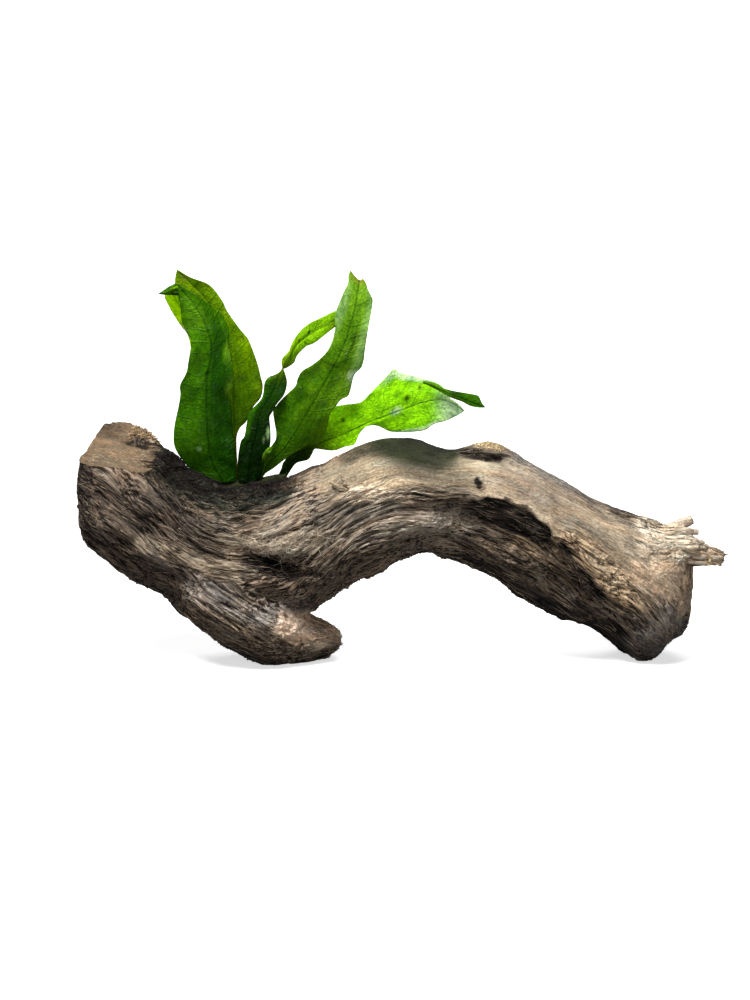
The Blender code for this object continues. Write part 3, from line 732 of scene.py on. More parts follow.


# The zones of the wood, in the order that they are laid on. The marked ones paint shade or a sheen.
ZONES: tuple[Zone, ...] = (
    Zone(((-140, -12, 74), (-112, -16, 62), (-94, -16, 66)), (16, 30, 22), DUSK, 0.85),
    Zone(((-82, -22, 71), (-66, -22, 72), (-50, -22, 73)), (10, 20, 9), paint(148, 132, 114), 0.7),
    Zone(((-50, 0, 92), (0, -2, 102), (45, 0, 100), (95, 0, 76), (124, 0, 60)),
         (22, 34, 13), paint(180, 162, 138), 0.8, 0.2, 0.04),
    Zone(((-26, -18, 89), (0, -20, 92), (40, -18, 92)), (12, 20, 9), PALE, 0.8, 0.14, 0.02),
    Zone(((45, -22, 86), (66, -22, 76), (90, -20, 62), (116, -20, 46)),
         (12, 16, 10), paint(208, 190, 163), 0.88, 0.16, 0.08),
    Zone(((48, -20, 90), (62, -20, 86), (74, -18, 82)), (9, 20, 6), paint(172, 155, 135), 0.65, 0.18, 0.05),
    Zone(((76, -24, 60), (88, -23, 50), (106, -22, 34)), (9, 20, 8), SAND, 0.85, 0.9, 0.25),
    Zone(((58, 0, 98), (80, 0, 86), (104, 0, 76)), (9, 14, 6), paint(128, 126, 122), 0.75, 0.4, 0.02),
    Zone(((-50, -20, 74), (-10, -22, 69), (20, -22, 68)),
         (16, 20, 12), paint(184, 169, 150), 0.85, 0.85, 0.1),
    Zone(((2, -22, 70), (12, -22, 71), (23, -22, 72)), (11, 20, 8), paint(208, 194, 176), 0.9, 0.8, 0.25),
    Zone(((-76, -20, 62), (-62, -20, 64), (-52, -20, 64)), (9, 20, 4.5), TAN, 0.8, 0.5, 0.2),
    Zone(((-147, -16, 58), (-147, -16, 88)), (9, 34, 24), UMBER, 0.95),
    Zone(((-136, -18, 47), (-118, -18, 36), (-90, -16, 18), (-64, -16, 4)), (12, 24, 7), UMBER, 0.65),
    Zone(((-116, -26, 62), (-104, -26, 58), (-88, -26, 52), (-70, -26, 49)), (6, 9, 4), TAN, 0.6, 0.3),
    # Painted sheen: a few pale bluish glints.
    Zone(((-114, -26, 56), (-104, -26, 46), (-94, -25, 40)), (3.5, 8, 3), paint(168, 170, 176), 0.18),
    Zone(((-92, -20, 40), (-70, -18, 30), (-46, -12, 22)), (8, 20, 7), paint(192, 182, 172), 0.75, 1.0, 0.05),
    Zone(((-110, -4, 94), (-100, -8, 88), (-90, -12, 82), (-76, -12, 80), (-56, -8, 84)),
         (8, 24, 7.5), paint(60, 62, 49), 0.98, 0.8),
    Zone(((-65, -24, 60.5), (-52, -24, 60), (-41, -24, 60)), (7, 20, 3.4), BONE, 0.88, 0.8, 0.35),
    # Painted shade in the cleft under the shoulder.
    Zone(((-68, -27, 54), (-60, -27, 50), (-50, -26, 45.5)), (5, 16, 3.0), COAL, 0.9),
    # Painted shade in the diagonal gap under the right ledge.
    Zone(((36, -26, 75), (50, -28, 69), (62, -28, 61)), (10, 16, 6.0), PITCH, 0.96, 0.9),
    Zone(((34, -26, 64), (50, -27, 61.5)), (6, 16, 2.4), DUSK, 0.8),
    # Painted shade on the dark, receding lower front of the right limb.
    Zone(((30, -20, 48), (52, -18, 34), (78, -16, 20), (98, -14, 10)),
         (12, 24, 10), paint(24, 22, 22), 0.96, 0.8),
    Zone(((54, -28, 61), (62, -28, 56), (72, -26, 49.5)), (5.5, 16, 2.8), SAND, 0.9, 0.9, 0.05),
    Zone(((72, -26, 46.5), (86, -25, 35)), (4, 16, 2.6), paint(170, 148, 124), 0.8),
    # Painted shade in the black gap along the sunken groove.
    Zone(((72.5, -28, 60), (79, -27, 48.8), (84, -26, 44), (91, -25, 35)), (2.4, 16, 2.4), COAL, 0.97),
    Zone(((-24, -8, 99.5), (-12, -8, 103.5)), (8, 20, 3.2), ALGAE, 0.6, 0.25),
    Zone(((-6, -8, 105), (8, -10, 102), (18, -8, 101)), (17, 24, 13), ALGAE, 0.4, 0.2),
    Zone(((-4, -8, 105), (8, -10, 102), (17, -8, 101)), (11, 20, 9), ALGAE, 0.96, 0.12),
    Zone(((-20, -22, 84), (-2, -22, 82.4)), (7, 20, 4.6), paint(242, 222, 194), 0.95, 0.9, 0.3),
    Zone(((118, -10, 12), (130, -4, 22)), (14, 34, 12), paint(150, 146, 142), 0.8, 0.3, 0.06),
    Zone(((114, -14, 44), (128, -10, 40), (134, -4, 32)),
         (10, 20, 12), paint(250, 220, 186), 0.88, 0.25, 0.18),
    Zone(((-54, -10, 21), (-32, -5, 16)), (11, 20, 9), RUST, 0.92, 0.8, 0.92),
    Zone(((114, -8, 62), (136, -4, 56), (150, 0, 50)), (9, 18, 9), BONE, 0.92, 0.75, 0.34),
    Zone(((114, -24, 53),), (4, 6, 2.4), COAL, 0.9),
    # Painted shade around the knot on the hump, in this zone and the next.
    Zone(((30, -7, 100.6), (39, -8, 98.9)), (5, 6, 1.8), UMBER, 0.55),
    Zone(((41, -8, 98.8), (47, -9, 98.9)), (3.6, 5, 1.5), COAL, 0.85),
    # Painted shade in the notch beside the plate on the hump.
    Zone(((35.2, -24, 89.2), (36.2, -24, 87.6)), (1.5, 14, 1.5), COAL, 0.9),
)

# The lines under which the front of the wood falls back, with painted shade in the hollow beneath and a little painted
# highlight on the lip above.
LEDGES: tuple[Ledge, ...] = (
    Ledge(((-10, 80.0), (8, 80.5), (25, 81.0), (38, 82.0)), 7.0, 0.8, 0.3),
    Ledge(((30, 81.5), (44, 82.2), (53, 80.5), (59, 76.5), (65, 71.6), (70, 62.0)), 8.0, 2.6, 0.85),
    Ledge(((62, 74.0), (68.3, 65.2), (74.2, 55.6), (82.4, 43.8), (92, 32.0)), 4.5, 2.4, 0.8),
    Ledge(((-68, 58.5), (-60, 55.5), (-50, 51.0), (-38, 49.0)), 6.0, 2.6, 0.9),
)

# The wood's sharper hollows and rises.
DENTS: tuple[Dent, ...] = (
    Dent(((-113, -26, 85), (-109, -27, 80), (-104, -27, 75), (-97, -27, 67), (-89, -27, 61)), 1.5, -2.4),
    Dent(((-98, -26, 80), (-88, -26, 74)), 1.9, -2.6),
    Dent(((-92, -26, 62), (-78, -26, 57), (-66, -26, 55)), 1.3, -1.4),
    Dent(((36, -26, 71), (50, -28, 66), (60, -28, 56)), 2.6, -3.4),
    Dent(((72.5, -28, 60), (79, -27, 48.8), (84, -26, 44), (91, -25, 35)), 2.2, -3.2),
    Dent(((54, -28, 61), (62, -28, 56), (72, -26, 49.5)), 2.8, 1.8),
    Dent(((60, -28, 64), (68, -27, 57)), 1.5, -1.6),
    Dent(((72, -26, 46.5), (86, -25, 35)), 2.6, 1.5),
    Dent(((80, -26, 62), (96, -26, 46), (110, -25, 32)), 1.3, -1.4),
    Dent(((104, 0, 74), (112, 0, 70), (120, 0, 66)), 8.0, -1.4),
    Dent(((35.0, -25, 90), (36.2, -26, 87)), 1.6, -2.6),
    Dent(((37, -26, 92), (44, -26, 94), (54, -26, 89)), 3.2, 1.0),
    Dent(((115, -25, 53.0),), 2.0, -3.0),
    Dent(((106, -25, 38), (113, -24, 31), (119, -23, 25)), 1.4, -2.2),
    Dent(((-105.1, -26, 57.8),), 1.5, 1.4),
    Dent(((-101.2, -26, 57.2),), 1.3, -1.8),
    Dent(((-31, -25, 88), (-25, -25, 86)), 1.3, -1.8),
    Dent(((30, -9, 99.3), (38, -10, 97.8), (46, -10, 97.8)), 1.6, -2.2),
    Dent(((-126, 5, 103.5), (-119, 4, 101.5)), 1.9, -2.6),
    Dent(((-148, -14, 98), (-147.5, -12, 84)), 6.0, 1.6),
    Dent(((-148, -10, 78), (-148, -10, 60)), 7.0, 1.4),
    Dent(((-137, 16, 108), (-138, 15, 101)), 8.0, 9.0),
    Dent(((-110, 4, 97), (-103, 5, 94)), 6.0, 6.8),
    Dent(((-108, 5, 91), (-104, 5, 88)), 5.0, 3.6),
    Dent(((-118, -3, 38), (-111, -3, 34), (-104, -3, 29)), 8.0, 2.6),
    Dent(((-137, 0, 54), (-125, 0, 42)), 6.0, -1.9),
    Dent(((120, 0, 0), (127, 0, 5)), 6.0, -4.0),
    Dent(((-100, 0, 20), (-84, 0, 8), (-74, 0, 4)), 9.0, -1.8),
    Dent(((-38, 0, 22), (-30, 0, 19)), 6.0, -1.5),
    Dent(((-66, -26, 59), (-54, -26, 58.5), (-42, -25, 58)), 3.4, 2.2),
    Dent(((-57, 0, 88), (-48, 0, 91), (-41, 0, 93.5)), 7.0, -1.4),
    Dent(((6, 0, 106), (16, 0, 104), (24, 0, 102)), 7.0, -0.6),
    Dent(((-8, -4, 45), (0, -4, 49), (7, -4, 50.5)), 6.5, -5.2),
    Dent(((19, -4, 51), (28, -4, 48)), 7.0, 1.4),
    Dent(((52, 0, 30), (70, 0, 18), (88, 0, 12), (102, 0, 4)), 11.0, 1.7),
    Dent(((91, 0, 82), (98, 0, 79)), 6.0, 1.2),
    Dent(((136, 0, 14), (137, 0, 40)), 11.0, 2.0),
    Dent(((-111, 0, 94), (-104, 0, 89), (-94, 0, 84)), 8.0, 1.8),
)


class Carving:
    """The wood's relief and colours while they are worked out, one row a point."""

    def __init__(self, wood: "Driftwood", start: np.ndarray, normals: np.ndarray) -> None:
        """Start with bare brown wood.

        Args:
            wood: The wood's sizes, zones, ledges and dents.
            start: The fused body's points.
            normals: Their normals.
        """
        self.wood, self.start, self.normals, self.points = wood, start, normals, start
        self.drift, self.lumps = Noise(DRIFT_SEED), Noise(LUMP_SEED)
        self.height, self.level, self.lift, self.mound, self.sawn = np.zeros((5, len(start)))
        self.grain, self.flow = np.zeros((2, *start.shape))
        self.rough, self.tint = np.ones(len(start)), np.tile(np.array(BROWN), (len(start), 1))

    def tint_patch(self, share: np.ndarray, colour: np.ndarray | Colour) -> None:
        """Bring each point's tint nearer to a colour by its share, for the wood's own colours and for painted shade
        and sheen alike.
        """
        self.tint += share[:, None] * (np.asarray(colour) - self.tint)

    def shifted(self, step: float, *layers: tuple[float, float, float]) -> np.ndarray:
        """Shift the points by noise, so that borders waver.

        Args:
            step: How far apart the noise is read for X, Y and Z.
            *layers: Height, side and cell size of each layer of noise.

        Returns:
            The shifted points.
        """
        shifts = [
            sum(high * self.drift.at(self.start + side * step * k, cell) for high, side, cell in layers)
            for k in range(3)
        ]
        return self.start + np.stack(shifts, axis=1)

    def lay_grain(self) -> None:
        """Lay each limb's relief on its share of the wood, and leave little where two limbs meet."""
        x, z = self.start[:, 0], self.start[:, 2]
        sway = 3.0 * self.drift.at(self.start, 7) + 1.5 * self.drift.at(self.start, 3)
        at, slope = self.wood.crease
        to_prong = ramp(2.5, -2.5, z + sway - (at[2] + slope * (x - at[0])))
        to_prong = to_prong * ramp(-120, -106, x) * ramp(-12, -17, x)
        to_stub = ramp(108, 122, x + 2 * sway) * ramp(42, 48, z + sway)
        forks = np.maximum(to_prong, to_stub)
        limbs = ((self.wood.trunk, 1 - forks), (self.wood.prong, to_prong), (self.wood.stub, to_stub))
        for number, ((way, share), seed) in enumerate(zip(limbs, self.wood.relief_seeds)):
            chosen = share > 0.001
            places, run = way.read(self.start[chosen])
            high, lit, bent = self.wood.relief(places, seed)
            self.height[chosen] += share[chosen] * high
            self.level[chosen] += share[chosen] * lit
            self.flow[chosen] += share[chosen, None] * run
            leads = share[chosen] >= 0.5
            self.grain[np.flatnonzero(chosen)[leads]] = bent[leads] + 200.0 * number
        self.rough -= 0.8 * ramp(0.35, 0.5, np.minimum(forks, 1 - forks))

    def lay_zones(self) -> None:
        """Lay the zones on the wood, and paint shade on what faces down."""
        near = self.shifted(50, (2.0, 1, 10))
        for zone in self.wood.zones:
            share = zone.share(near) * zone.depth
            self.tint_patch(share, zone.tint)
            self.rough += share * (zone.rough - self.rough)
            self.lift += share * (zone.lift - self.lift)
        # Painted shade: what faces down is darkened towards umber.
        self.tint_patch(0.55 * ramp(0.1, -0.7, self.normals[:, 2]), np.array(UMBER) * 0.6)

    def lay_face(self) -> None:
        """Find the sawn face, smooth it and give it its own colour."""
        over, inside, _ = self.wood.against_face(self.start)
        self.mound = ramp(-127, -124, self.start[:, 0]) * ramp(2, 5, self.start[:, 1])
        self.sawn = ramp(-0.4, 0.4, over) * (inside > -9) * (1 - self.mound)
        self.tint_patch(0.95 * self.sawn, SAWN)
        self.rough *= 1 - 0.82 * self.sawn
        kept = np.clip(self.rough, 0, 1)
        self.level = self.level * kept + 0.5 * (1 - kept) + self.lift
        lumps = 0.9 * self.lumps.at(self.start, 15) + 0.35 * self.lumps.at(self.start, 6)
        self.height = self.height * self.rough + lumps * (1 - 0.8 * self.sawn)

    def press(self) -> None:
        """Press the dents and ledges into the relief, and paint shade into the dents and under the ledges."""
        for dent in self.wood.dents:
            near = dent.near(self.start)
            self.height += dent.push * near
            # Painted shade: the relief value, and so the colour, drops along every dent, most in the sunken ones.
            self.level += (0.45 if dent.push < 0 else -0.25) * near * np.sign(dent.push)
        near = self.shifted(30, (2.0, 1, 8), (0.9, -1, 3))
        for ledge in self.wood.ledges:
            lower, upper = ledge.sides(near)
            self.height += 0.35 * upper - ledge.drop * lower
            # Painted highlight on each ledge's lip, and painted shade in the hollow under it.
            self.level += 0.1 * upper - 0.3 * ledge.tone * lower
            self.tint_patch(ledge.tone * lower, np.array(COAL) * 1.4)
        self.height *= 1 - 0.6 * self.sawn

    def raise_points(self) -> None:
        """Move the points out by the relief, less near the ground, and keep them above it."""
        low = ramp(0.0, 3.0, self.start[:, 2])
        hold = np.where(self.height > 0, 0.25 + 0.75 * low, 0.5 + 0.5 * low)
        self.points = self.start + self.normals * (self.height * hold)[:, None]
        self.points[:, 2] = np.maximum(self.points[:, 2], 0.0)

    def trim_head(self) -> None:
        """Cut the sawn end flat, with its pits and its straight left wall, and paint shade into the pits."""
        points, wood = self.points, self.wood
        front, back = wood.face_corners[0], wood.face_corners[3]
        slope = (back[0] - front[0]) / (back[1] - front[1])
        wall = front[0] + slope * (points[:, 1] - front[1]) + 0.35 * self.drift.at(points, 3)
        wall -= 1.8 * ramp(96, 88, self.start[:, 2])
        high = ramp(58, 68, self.start[:, 2]) * (self.start[:, 0] < -130)
        points[:, 0] += high * np.maximum(wall - points[:, 0], 0.0)
        over, inside, upward = wood.against_face(points)
        cut = ((over > 0) & (inside > -9)) * (1 - self.mound)
        points -= (cut * over)[:, None] * upward
        pit = np.zeros(len(points))
        for dent in wood.dents:
            pit -= cut * min(dent.push, 0.0) * dent.near(points)
        marks = 0.12 * self.drift.at(points, 1.5) + 0.25 * self.drift.at(points, 7)
        points -= (pit + cut * marks)[:, None] * upward
        # Painted shade: the tint darkens with the depth of each pit.
        self.tint *= 1 - 0.9 * np.clip(pit / 2.0, 0, 1)[:, None]

    def trim_stub(self) -> None:
        """Break the stub off between its crown and its sole."""
        points, wood = self.points, self.wood
        broken = (points[:, 0] > wood.broken_end[0]) & (points[:, 2] > wood.broken_end[1])
        crown = np.interp(points[:, 0], *zip(*wood.stub_crown)) + 0.5 * self.drift.at(points, wood.stub_cell)
        points[:, 2] -= broken * np.maximum(points[:, 2] - crown, 0.0)
        sole = np.interp(points[:, 0], *zip(*wood.stub_sole)) + 0.4 * self.drift.at(points, wood.stub_cell)
        points[:, 2] += broken * np.maximum(sole - points[:, 2], 0.0)

    def values(self) -> dict[str, np.ndarray]:
        """The finished points and what their material reads, by name."""
        tone = 1 + 0.35 * self.drift.at(self.start, 24) + 0.2 * self.drift.at(self.start, 9)
        tone = np.clip(tone + (1 - tone) * self.sawn, 0.5, 1.5)
        return {"points": self.points, "flow": self.flow, "grain": self.grain, "tint": self.tint * tone[:, None],
                "relief": np.clip(self.level, 0, 1.2), "rough": np.clip(self.rough, 0, 1)}


@dataclass
class Driftwood:
    """The whole piece of wood: its fused forks, its relief and its colours.

    swell closes the gaps at the forks, raised lifts the sawn end until it is cut flat again, the
    cells are the sizes of the relief's forms in the grain's coordinates, cuts are where the trunk
    is split (x), and stub_cut is where the stub is (x, z) and broken_end its broken part. crease
    is a point and the slope (z to x) of the crease over the prong, and prong_cut of the cut there.
    """

    nodes: tuple = ("driftwood_trunk", "driftwood_prong", "driftwood_stub")
    zones: tuple[Zone, ...] = ZONES
    ledges: tuple[Ledge, ...] = LEDGES
    dents: tuple[Dent, ...] = DENTS
    voxel: float = 1.15
    swell: float = 0.3
    raised: float = 7.0
    smoothing: int = 16
    wide_cell: Point = (42, 15, 15)
    narrow_cell: Point = (15, 6, 6)
    flute_cell: Point = (70, 6.5, 6.5)
    crest_cell: Point = (25, 1.8, 1.8)
    fine_cell: Point = (14, 1.1, 1.1)
    gap_cell: Point = (17, 1.7, 1.7)
    crack_cell: Point = (90, 9, 9)
    cracked_cell: Point = (40, 18, 18)
    stub_cell: Point = (6, 2, 2)
    relief_seeds: tuple[int, int, int] = (11, 21, 31)
    crease: tuple[Point, float] = ((-104.0, 0.0, 53.0), -0.39)
    broken_end: tuple[float, float] = (131.0, 42.0)
    cuts: tuple[float, float] = (-60.0, 32.0)
    prong_cut: tuple[Point, float] = ((-13.0, 0.0, 20.9), -0.0963)
    prong_end: float = -20.0
    stub_cut: tuple[float, float] = (130.5, 43.0)
    trunk: Grain = Grain(
        (
            ((-158, 52), (-118, 114)), ((-140, 38), (-103, 97)), ((-118, 22), (-88, 82)),
            ((-95, 8), (-74, 78)), ((-72, -1), (-62, 82)), ((-50, 2), (-51, 87)), ((-30, 24), (-36, 93)),
            ((-19, 40), (-22, 100)), ((-1, 48), (-1, 105)), ((17, 50), (17, 101)), ((31, 45), (38, 102)),
            ((49, 34), (75, 92)), ((67, 18), (108, 76)), ((88, 2), (130, 62)), ((108, -18), (148, 38)),
        ),
        62.0,
    )
    prong: Grain = Grain(
        (((-128, 34), (-112, 72)), ((-112, 26), (-98, 62)), ((-94, 14), (-80, 52)), ((-76, 4), (-66, 42)),
         ((-60, -3), (-52, 32)), ((-46, -4), (-41, 24)), ((-36, 0), (-34, 20)), ((-27, 5), (-26, 13))),
        34.0,
    )
    stub: Grain = Grain(
        (((100, 38), (104, 72)), ((116, 43), (120, 66)), ((134, 45), (135, 64)), ((150, 44), (151, 56))),
        26.0,
    )
    stub_crown: tuple = ((131, 66.0), (134, 62.5), (138, 57.0), (144, 54.0), (150, 50.5))
    stub_sole: tuple = ((131, 42.0), (134.5, 45.5), (150, 46.0))
    face_corners: tuple = ((-146.4, -18, 97.9), (-111.7, -12, 94.9), (-124.6, 22, 106.6), (-139.5, 24, 108.7))

    def fuse(self) -> bpy.types.Object:
        """Join the forks' solids into one smooth body.

        Returns:
            A finely divided object without the solids' facets.
        """
        points, faces, count = [], [], 0
        for name in self.nodes:
            shape = bmesh.new()
            shape.from_mesh(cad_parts[name].data)
            bmesh.ops.remove_doubles(shape, verts=shape.verts, dist=1e-6)
            grow = 0.0 if name == self.nodes[0] else self.swell
            shape.normal_update()
            solid = np.array([v.co / MM + v.normal * grow for v in shape.verts])
            over, inside, upward = self.against_face(solid)
            solid += ((np.abs(over) < 1.5) & (inside > -2))[:, None] * upward * self.raised
            points += solid.tolist()
            faces += [[v.index + count for v in f.verts] for f in shape.faces]
            count += len(shape.verts)
            shape.free()
        body = add_object("wood_body", np.array(points), faces)
        remesh = body.modifiers.new("fuse", "REMESH")
        remesh.mode, remesh.voxel_size = "VOXEL", self.voxel * MM
        self.settle(body)
        points, _ = fetch(body.data)
        first, second = read(body.data.edges, "vertices", 2, np.int32).T
        degree = np.bincount(first, minlength=len(points)) + np.bincount(second, minlength=len(points))
        keep = ramp(128, 136, points[:, 0]) * ramp(40, 46, points[:, 2])
        weight = (0.6 * (1 - 0.85 * keep))[:, None]
        for _ in range(self.smoothing):
            total = np.stack([
                np.bincount(first, column[second], len(points)) + np.bincount(second, column[first], len(points))
                for column in points.T
            ], axis=1)
            points += weight * (total / degree[:, None] - points)
        move_points(body, points)
        smooth = body.modifiers.new("fine", "SUBSURF")
        smooth.levels = smooth.render_levels = 1
        self.settle(body)
        return body

    @staticmethod
    def settle(item: bpy.types.Object) -> None:
        """Turn an object's modifiers into its mesh.

        Args:
            item: The object.
        """
        bpy.context.view_layer.update()
        graph = bpy.context.evaluated_depsgraph_get()
        mesh = bpy.data.meshes.new_from_object(item.evaluated_get(graph))
        item.modifiers.clear()
        old, item.data = item.data, mesh
        bpy.data.meshes.remove(old)

    def against_face(self, points: np.ndarray) -> tuple[np.ndarray, np.ndarray, np.ndarray]:
        """Place points against the sawn face.

        Args:
            points: The points.

        Returns:
            Heights over the face's plane in millimetres, how far inside its edges the points lie in
            plan, and the plane's upward direction.
        """
        corners = np.array(self.face_corners, float)
        a, b, c, d = corners
        normal = np.cross(b - a, d - a) + np.cross(d - c, b - c)
        normal /= np.linalg.norm(normal)
        inside = np.full(len(points), np.inf)
        for start, end in zip(corners, np.roll(corners, -1, axis=0)):
            run = (end - start)[:2] / np.linalg.norm((end - start)[:2])
            away = points[:, :2] - start[:2]
            inside = np.minimum(inside, run[0] * away[:, 1] - run[1] * away[:, 0])
        return (points - corners.mean(axis=0)) @ normal, inside, normal

    def relief(self, places: np.ndarray, seed: int) -> tuple[np.ndarray, np.ndarray, np.ndarray]:
        """Weathered ridges and furrows along the grain.

        Args:
            places: Places in the grain.
            seed: Seed of the noise.

        Returns:
            The height in millimetres, how high each point lies between furrow and crest, and the
            places with the waver of the fibres.
        """
        noise = [Noise(seed + k) for k in range(8)]
        wide, narrow = noise[0].at(places, self.wide_cell), noise[1].at(places, self.narrow_cell)
        bent = places.copy()
        bent[:, 1] += 2.6 * wide + 0.6 * narrow
        bent[:, 2] += 2.0 * noise[1].at(places, self.wide_cell) + 0.8 * noise[0].at(places, self.narrow_cell)
        flute = np.clip(1 - 2.4 * np.abs(noise[2].at(bent, self.flute_cell)), 0, 1)
        crest = np.clip(1 - 3.0 * np.abs(noise[3].at(bent, self.crest_cell)), 0, 1) ** 1.3
        fine = np.clip(1 - 3.0 * np.abs(noise[4].at(bent, self.fine_cell)), 0, 1) ** 1.2
        gap = np.clip(2.6 * (noise[5].at(bent, self.gap_cell) - 0.14), 0, 1)
        crack = np.exp(-((noise[6].at(bent, self.crack_cell) / 0.05) ** 2))
        crack = crack * ramp(-0.1, 0.3, noise[7].at(places, self.cracked_cell))
        height = 1.1 * flute + 0.85 * crest + 0.35 * fine - 0.9 * gap - 1.5 * crack
        # The level darkens furrows, gaps and cracks and pales crests in the colour: partly the wood's own colour,
        # partly painted shade and painted highlight.
        level = 0.14 + 0.36 * crest + 0.2 * flute + 0.25 * fine - 0.4 * gap - 0.6 * crack
        return height - 0.5, np.clip(level, 0, 1.1), bent

    def carve(self, body: bpy.types.Object) -> dict[str, np.ndarray]:
        """Lay the relief on the fused body and work out its colours.

        Args:
            body: The fused body.

        Returns:
            Values by name for each point: points, normals, flow, grain, relief, rough and tint.
        """
        work = Carving(self, *fetch(body.data))
        for step in (work.lay_grain, work.lay_zones, work.lay_face, work.press, work.raise_points,
                     work.trim_head, work.trim_stub):
            step()
        move_points(body, work.points)
        body.data.update()
        return work.values() | {"normals": fetch(body.data)[1]}

    def divide(self, body: bpy.types.Object, values: dict[str, np.ndarray], finish: bpy.types.Material) -> None:
        """Split the body into closed pieces at its forks and across the trunk, and dress them.

        Args:
            body: The carved body.
            values: The values for its points.
            finish: The wood's material.
        """
        faces = read(body.data.loops, "vertex_index", 1, np.int32).reshape(-1, 4)
        x, _, z = values["points"][faces].mean(axis=1).T
        at, slope = self.prong_cut
        label = np.digitize(x, self.cuts)
        label[(z < at[2] + slope * (x - at[0])) & (x < self.prong_end)] = 3
        label[(x > self.stub_cut[0]) & (z > self.stub_cut[1])] = 4
        trunk, prong, stub = self.nodes
        plan = (("wood_head", trunk, "driftwood"), ("wood_middle", trunk, "driftwood"),
                ("wood_foot", trunk, "driftwood"), ("wood_prong", prong, "driftwood"),
                ("wood_stub", stub, "broken_wood"))
        for number, (name, node, slot) in enumerate(plan):
            used, flat = np.unique(faces[label == number], return_inverse=True)
            piece = add_object(name, values["points"][used], flat.reshape(-1, 4))
            shape = bmesh.new()
            shape.from_mesh(piece.data)
            rim = [edge for edge in shape.edges if edge.is_boundary]
            for edge in rim:
                edge.smooth = False
            for cap in bmesh.ops.holes_fill(shape, edges=rim, sides=0)["faces"]:
                cap.smooth = False
            shape.to_mesh(piece.data)
            shape.free()
            for key in ("grain", "relief", "rough", "tint"):
                store(piece, key, values[key][used])
            dress(piece, finish, slot, node)

    def build(self, finish: bpy.types.Material) -> dict[str, np.ndarray]:
        """Build and dress the wood.

        Args:
            finish: Its material.

        Returns:
            The values for the points of the whole body, for what grows on it.
        """
        body = self.fuse()
        values = self.carve(body)
        self.divide(body, values, finish)
        bpy.data.objects.remove(body)
        return values


@dataclass(frozen=True)
class TintPatch:
    """A patch of colour on a leaf: where along (0 to 1) and across (-1 to 1) it is, and its reach. Most are the leaf's
    own colours; some are painted shade or painted highlights.
    """

    along: float
    across: float
    length: float
    width: float
    colour: Colour
    depth: float = 1.0


# Painted light on the leaves: SHADE is painted shade, and the near-white one beside it and SHEEN are painted
# highlights.
DEEP, LEAF = paint(56, 118, 0), paint(78, 140, 0)
OLIVE, GLOW, FRESH = paint(126, 172, 0), paint(196, 236, 0), paint(140, 200, 40)
SHADE, GLINT, STRAW = paint(14, 50, 0), paint(240, 255, 232), paint(150, 140, 50)
PINE, BARK_GREEN, SHEEN = paint(28, 86, 0), paint(60, 66, 28), paint(196, 240, 170)


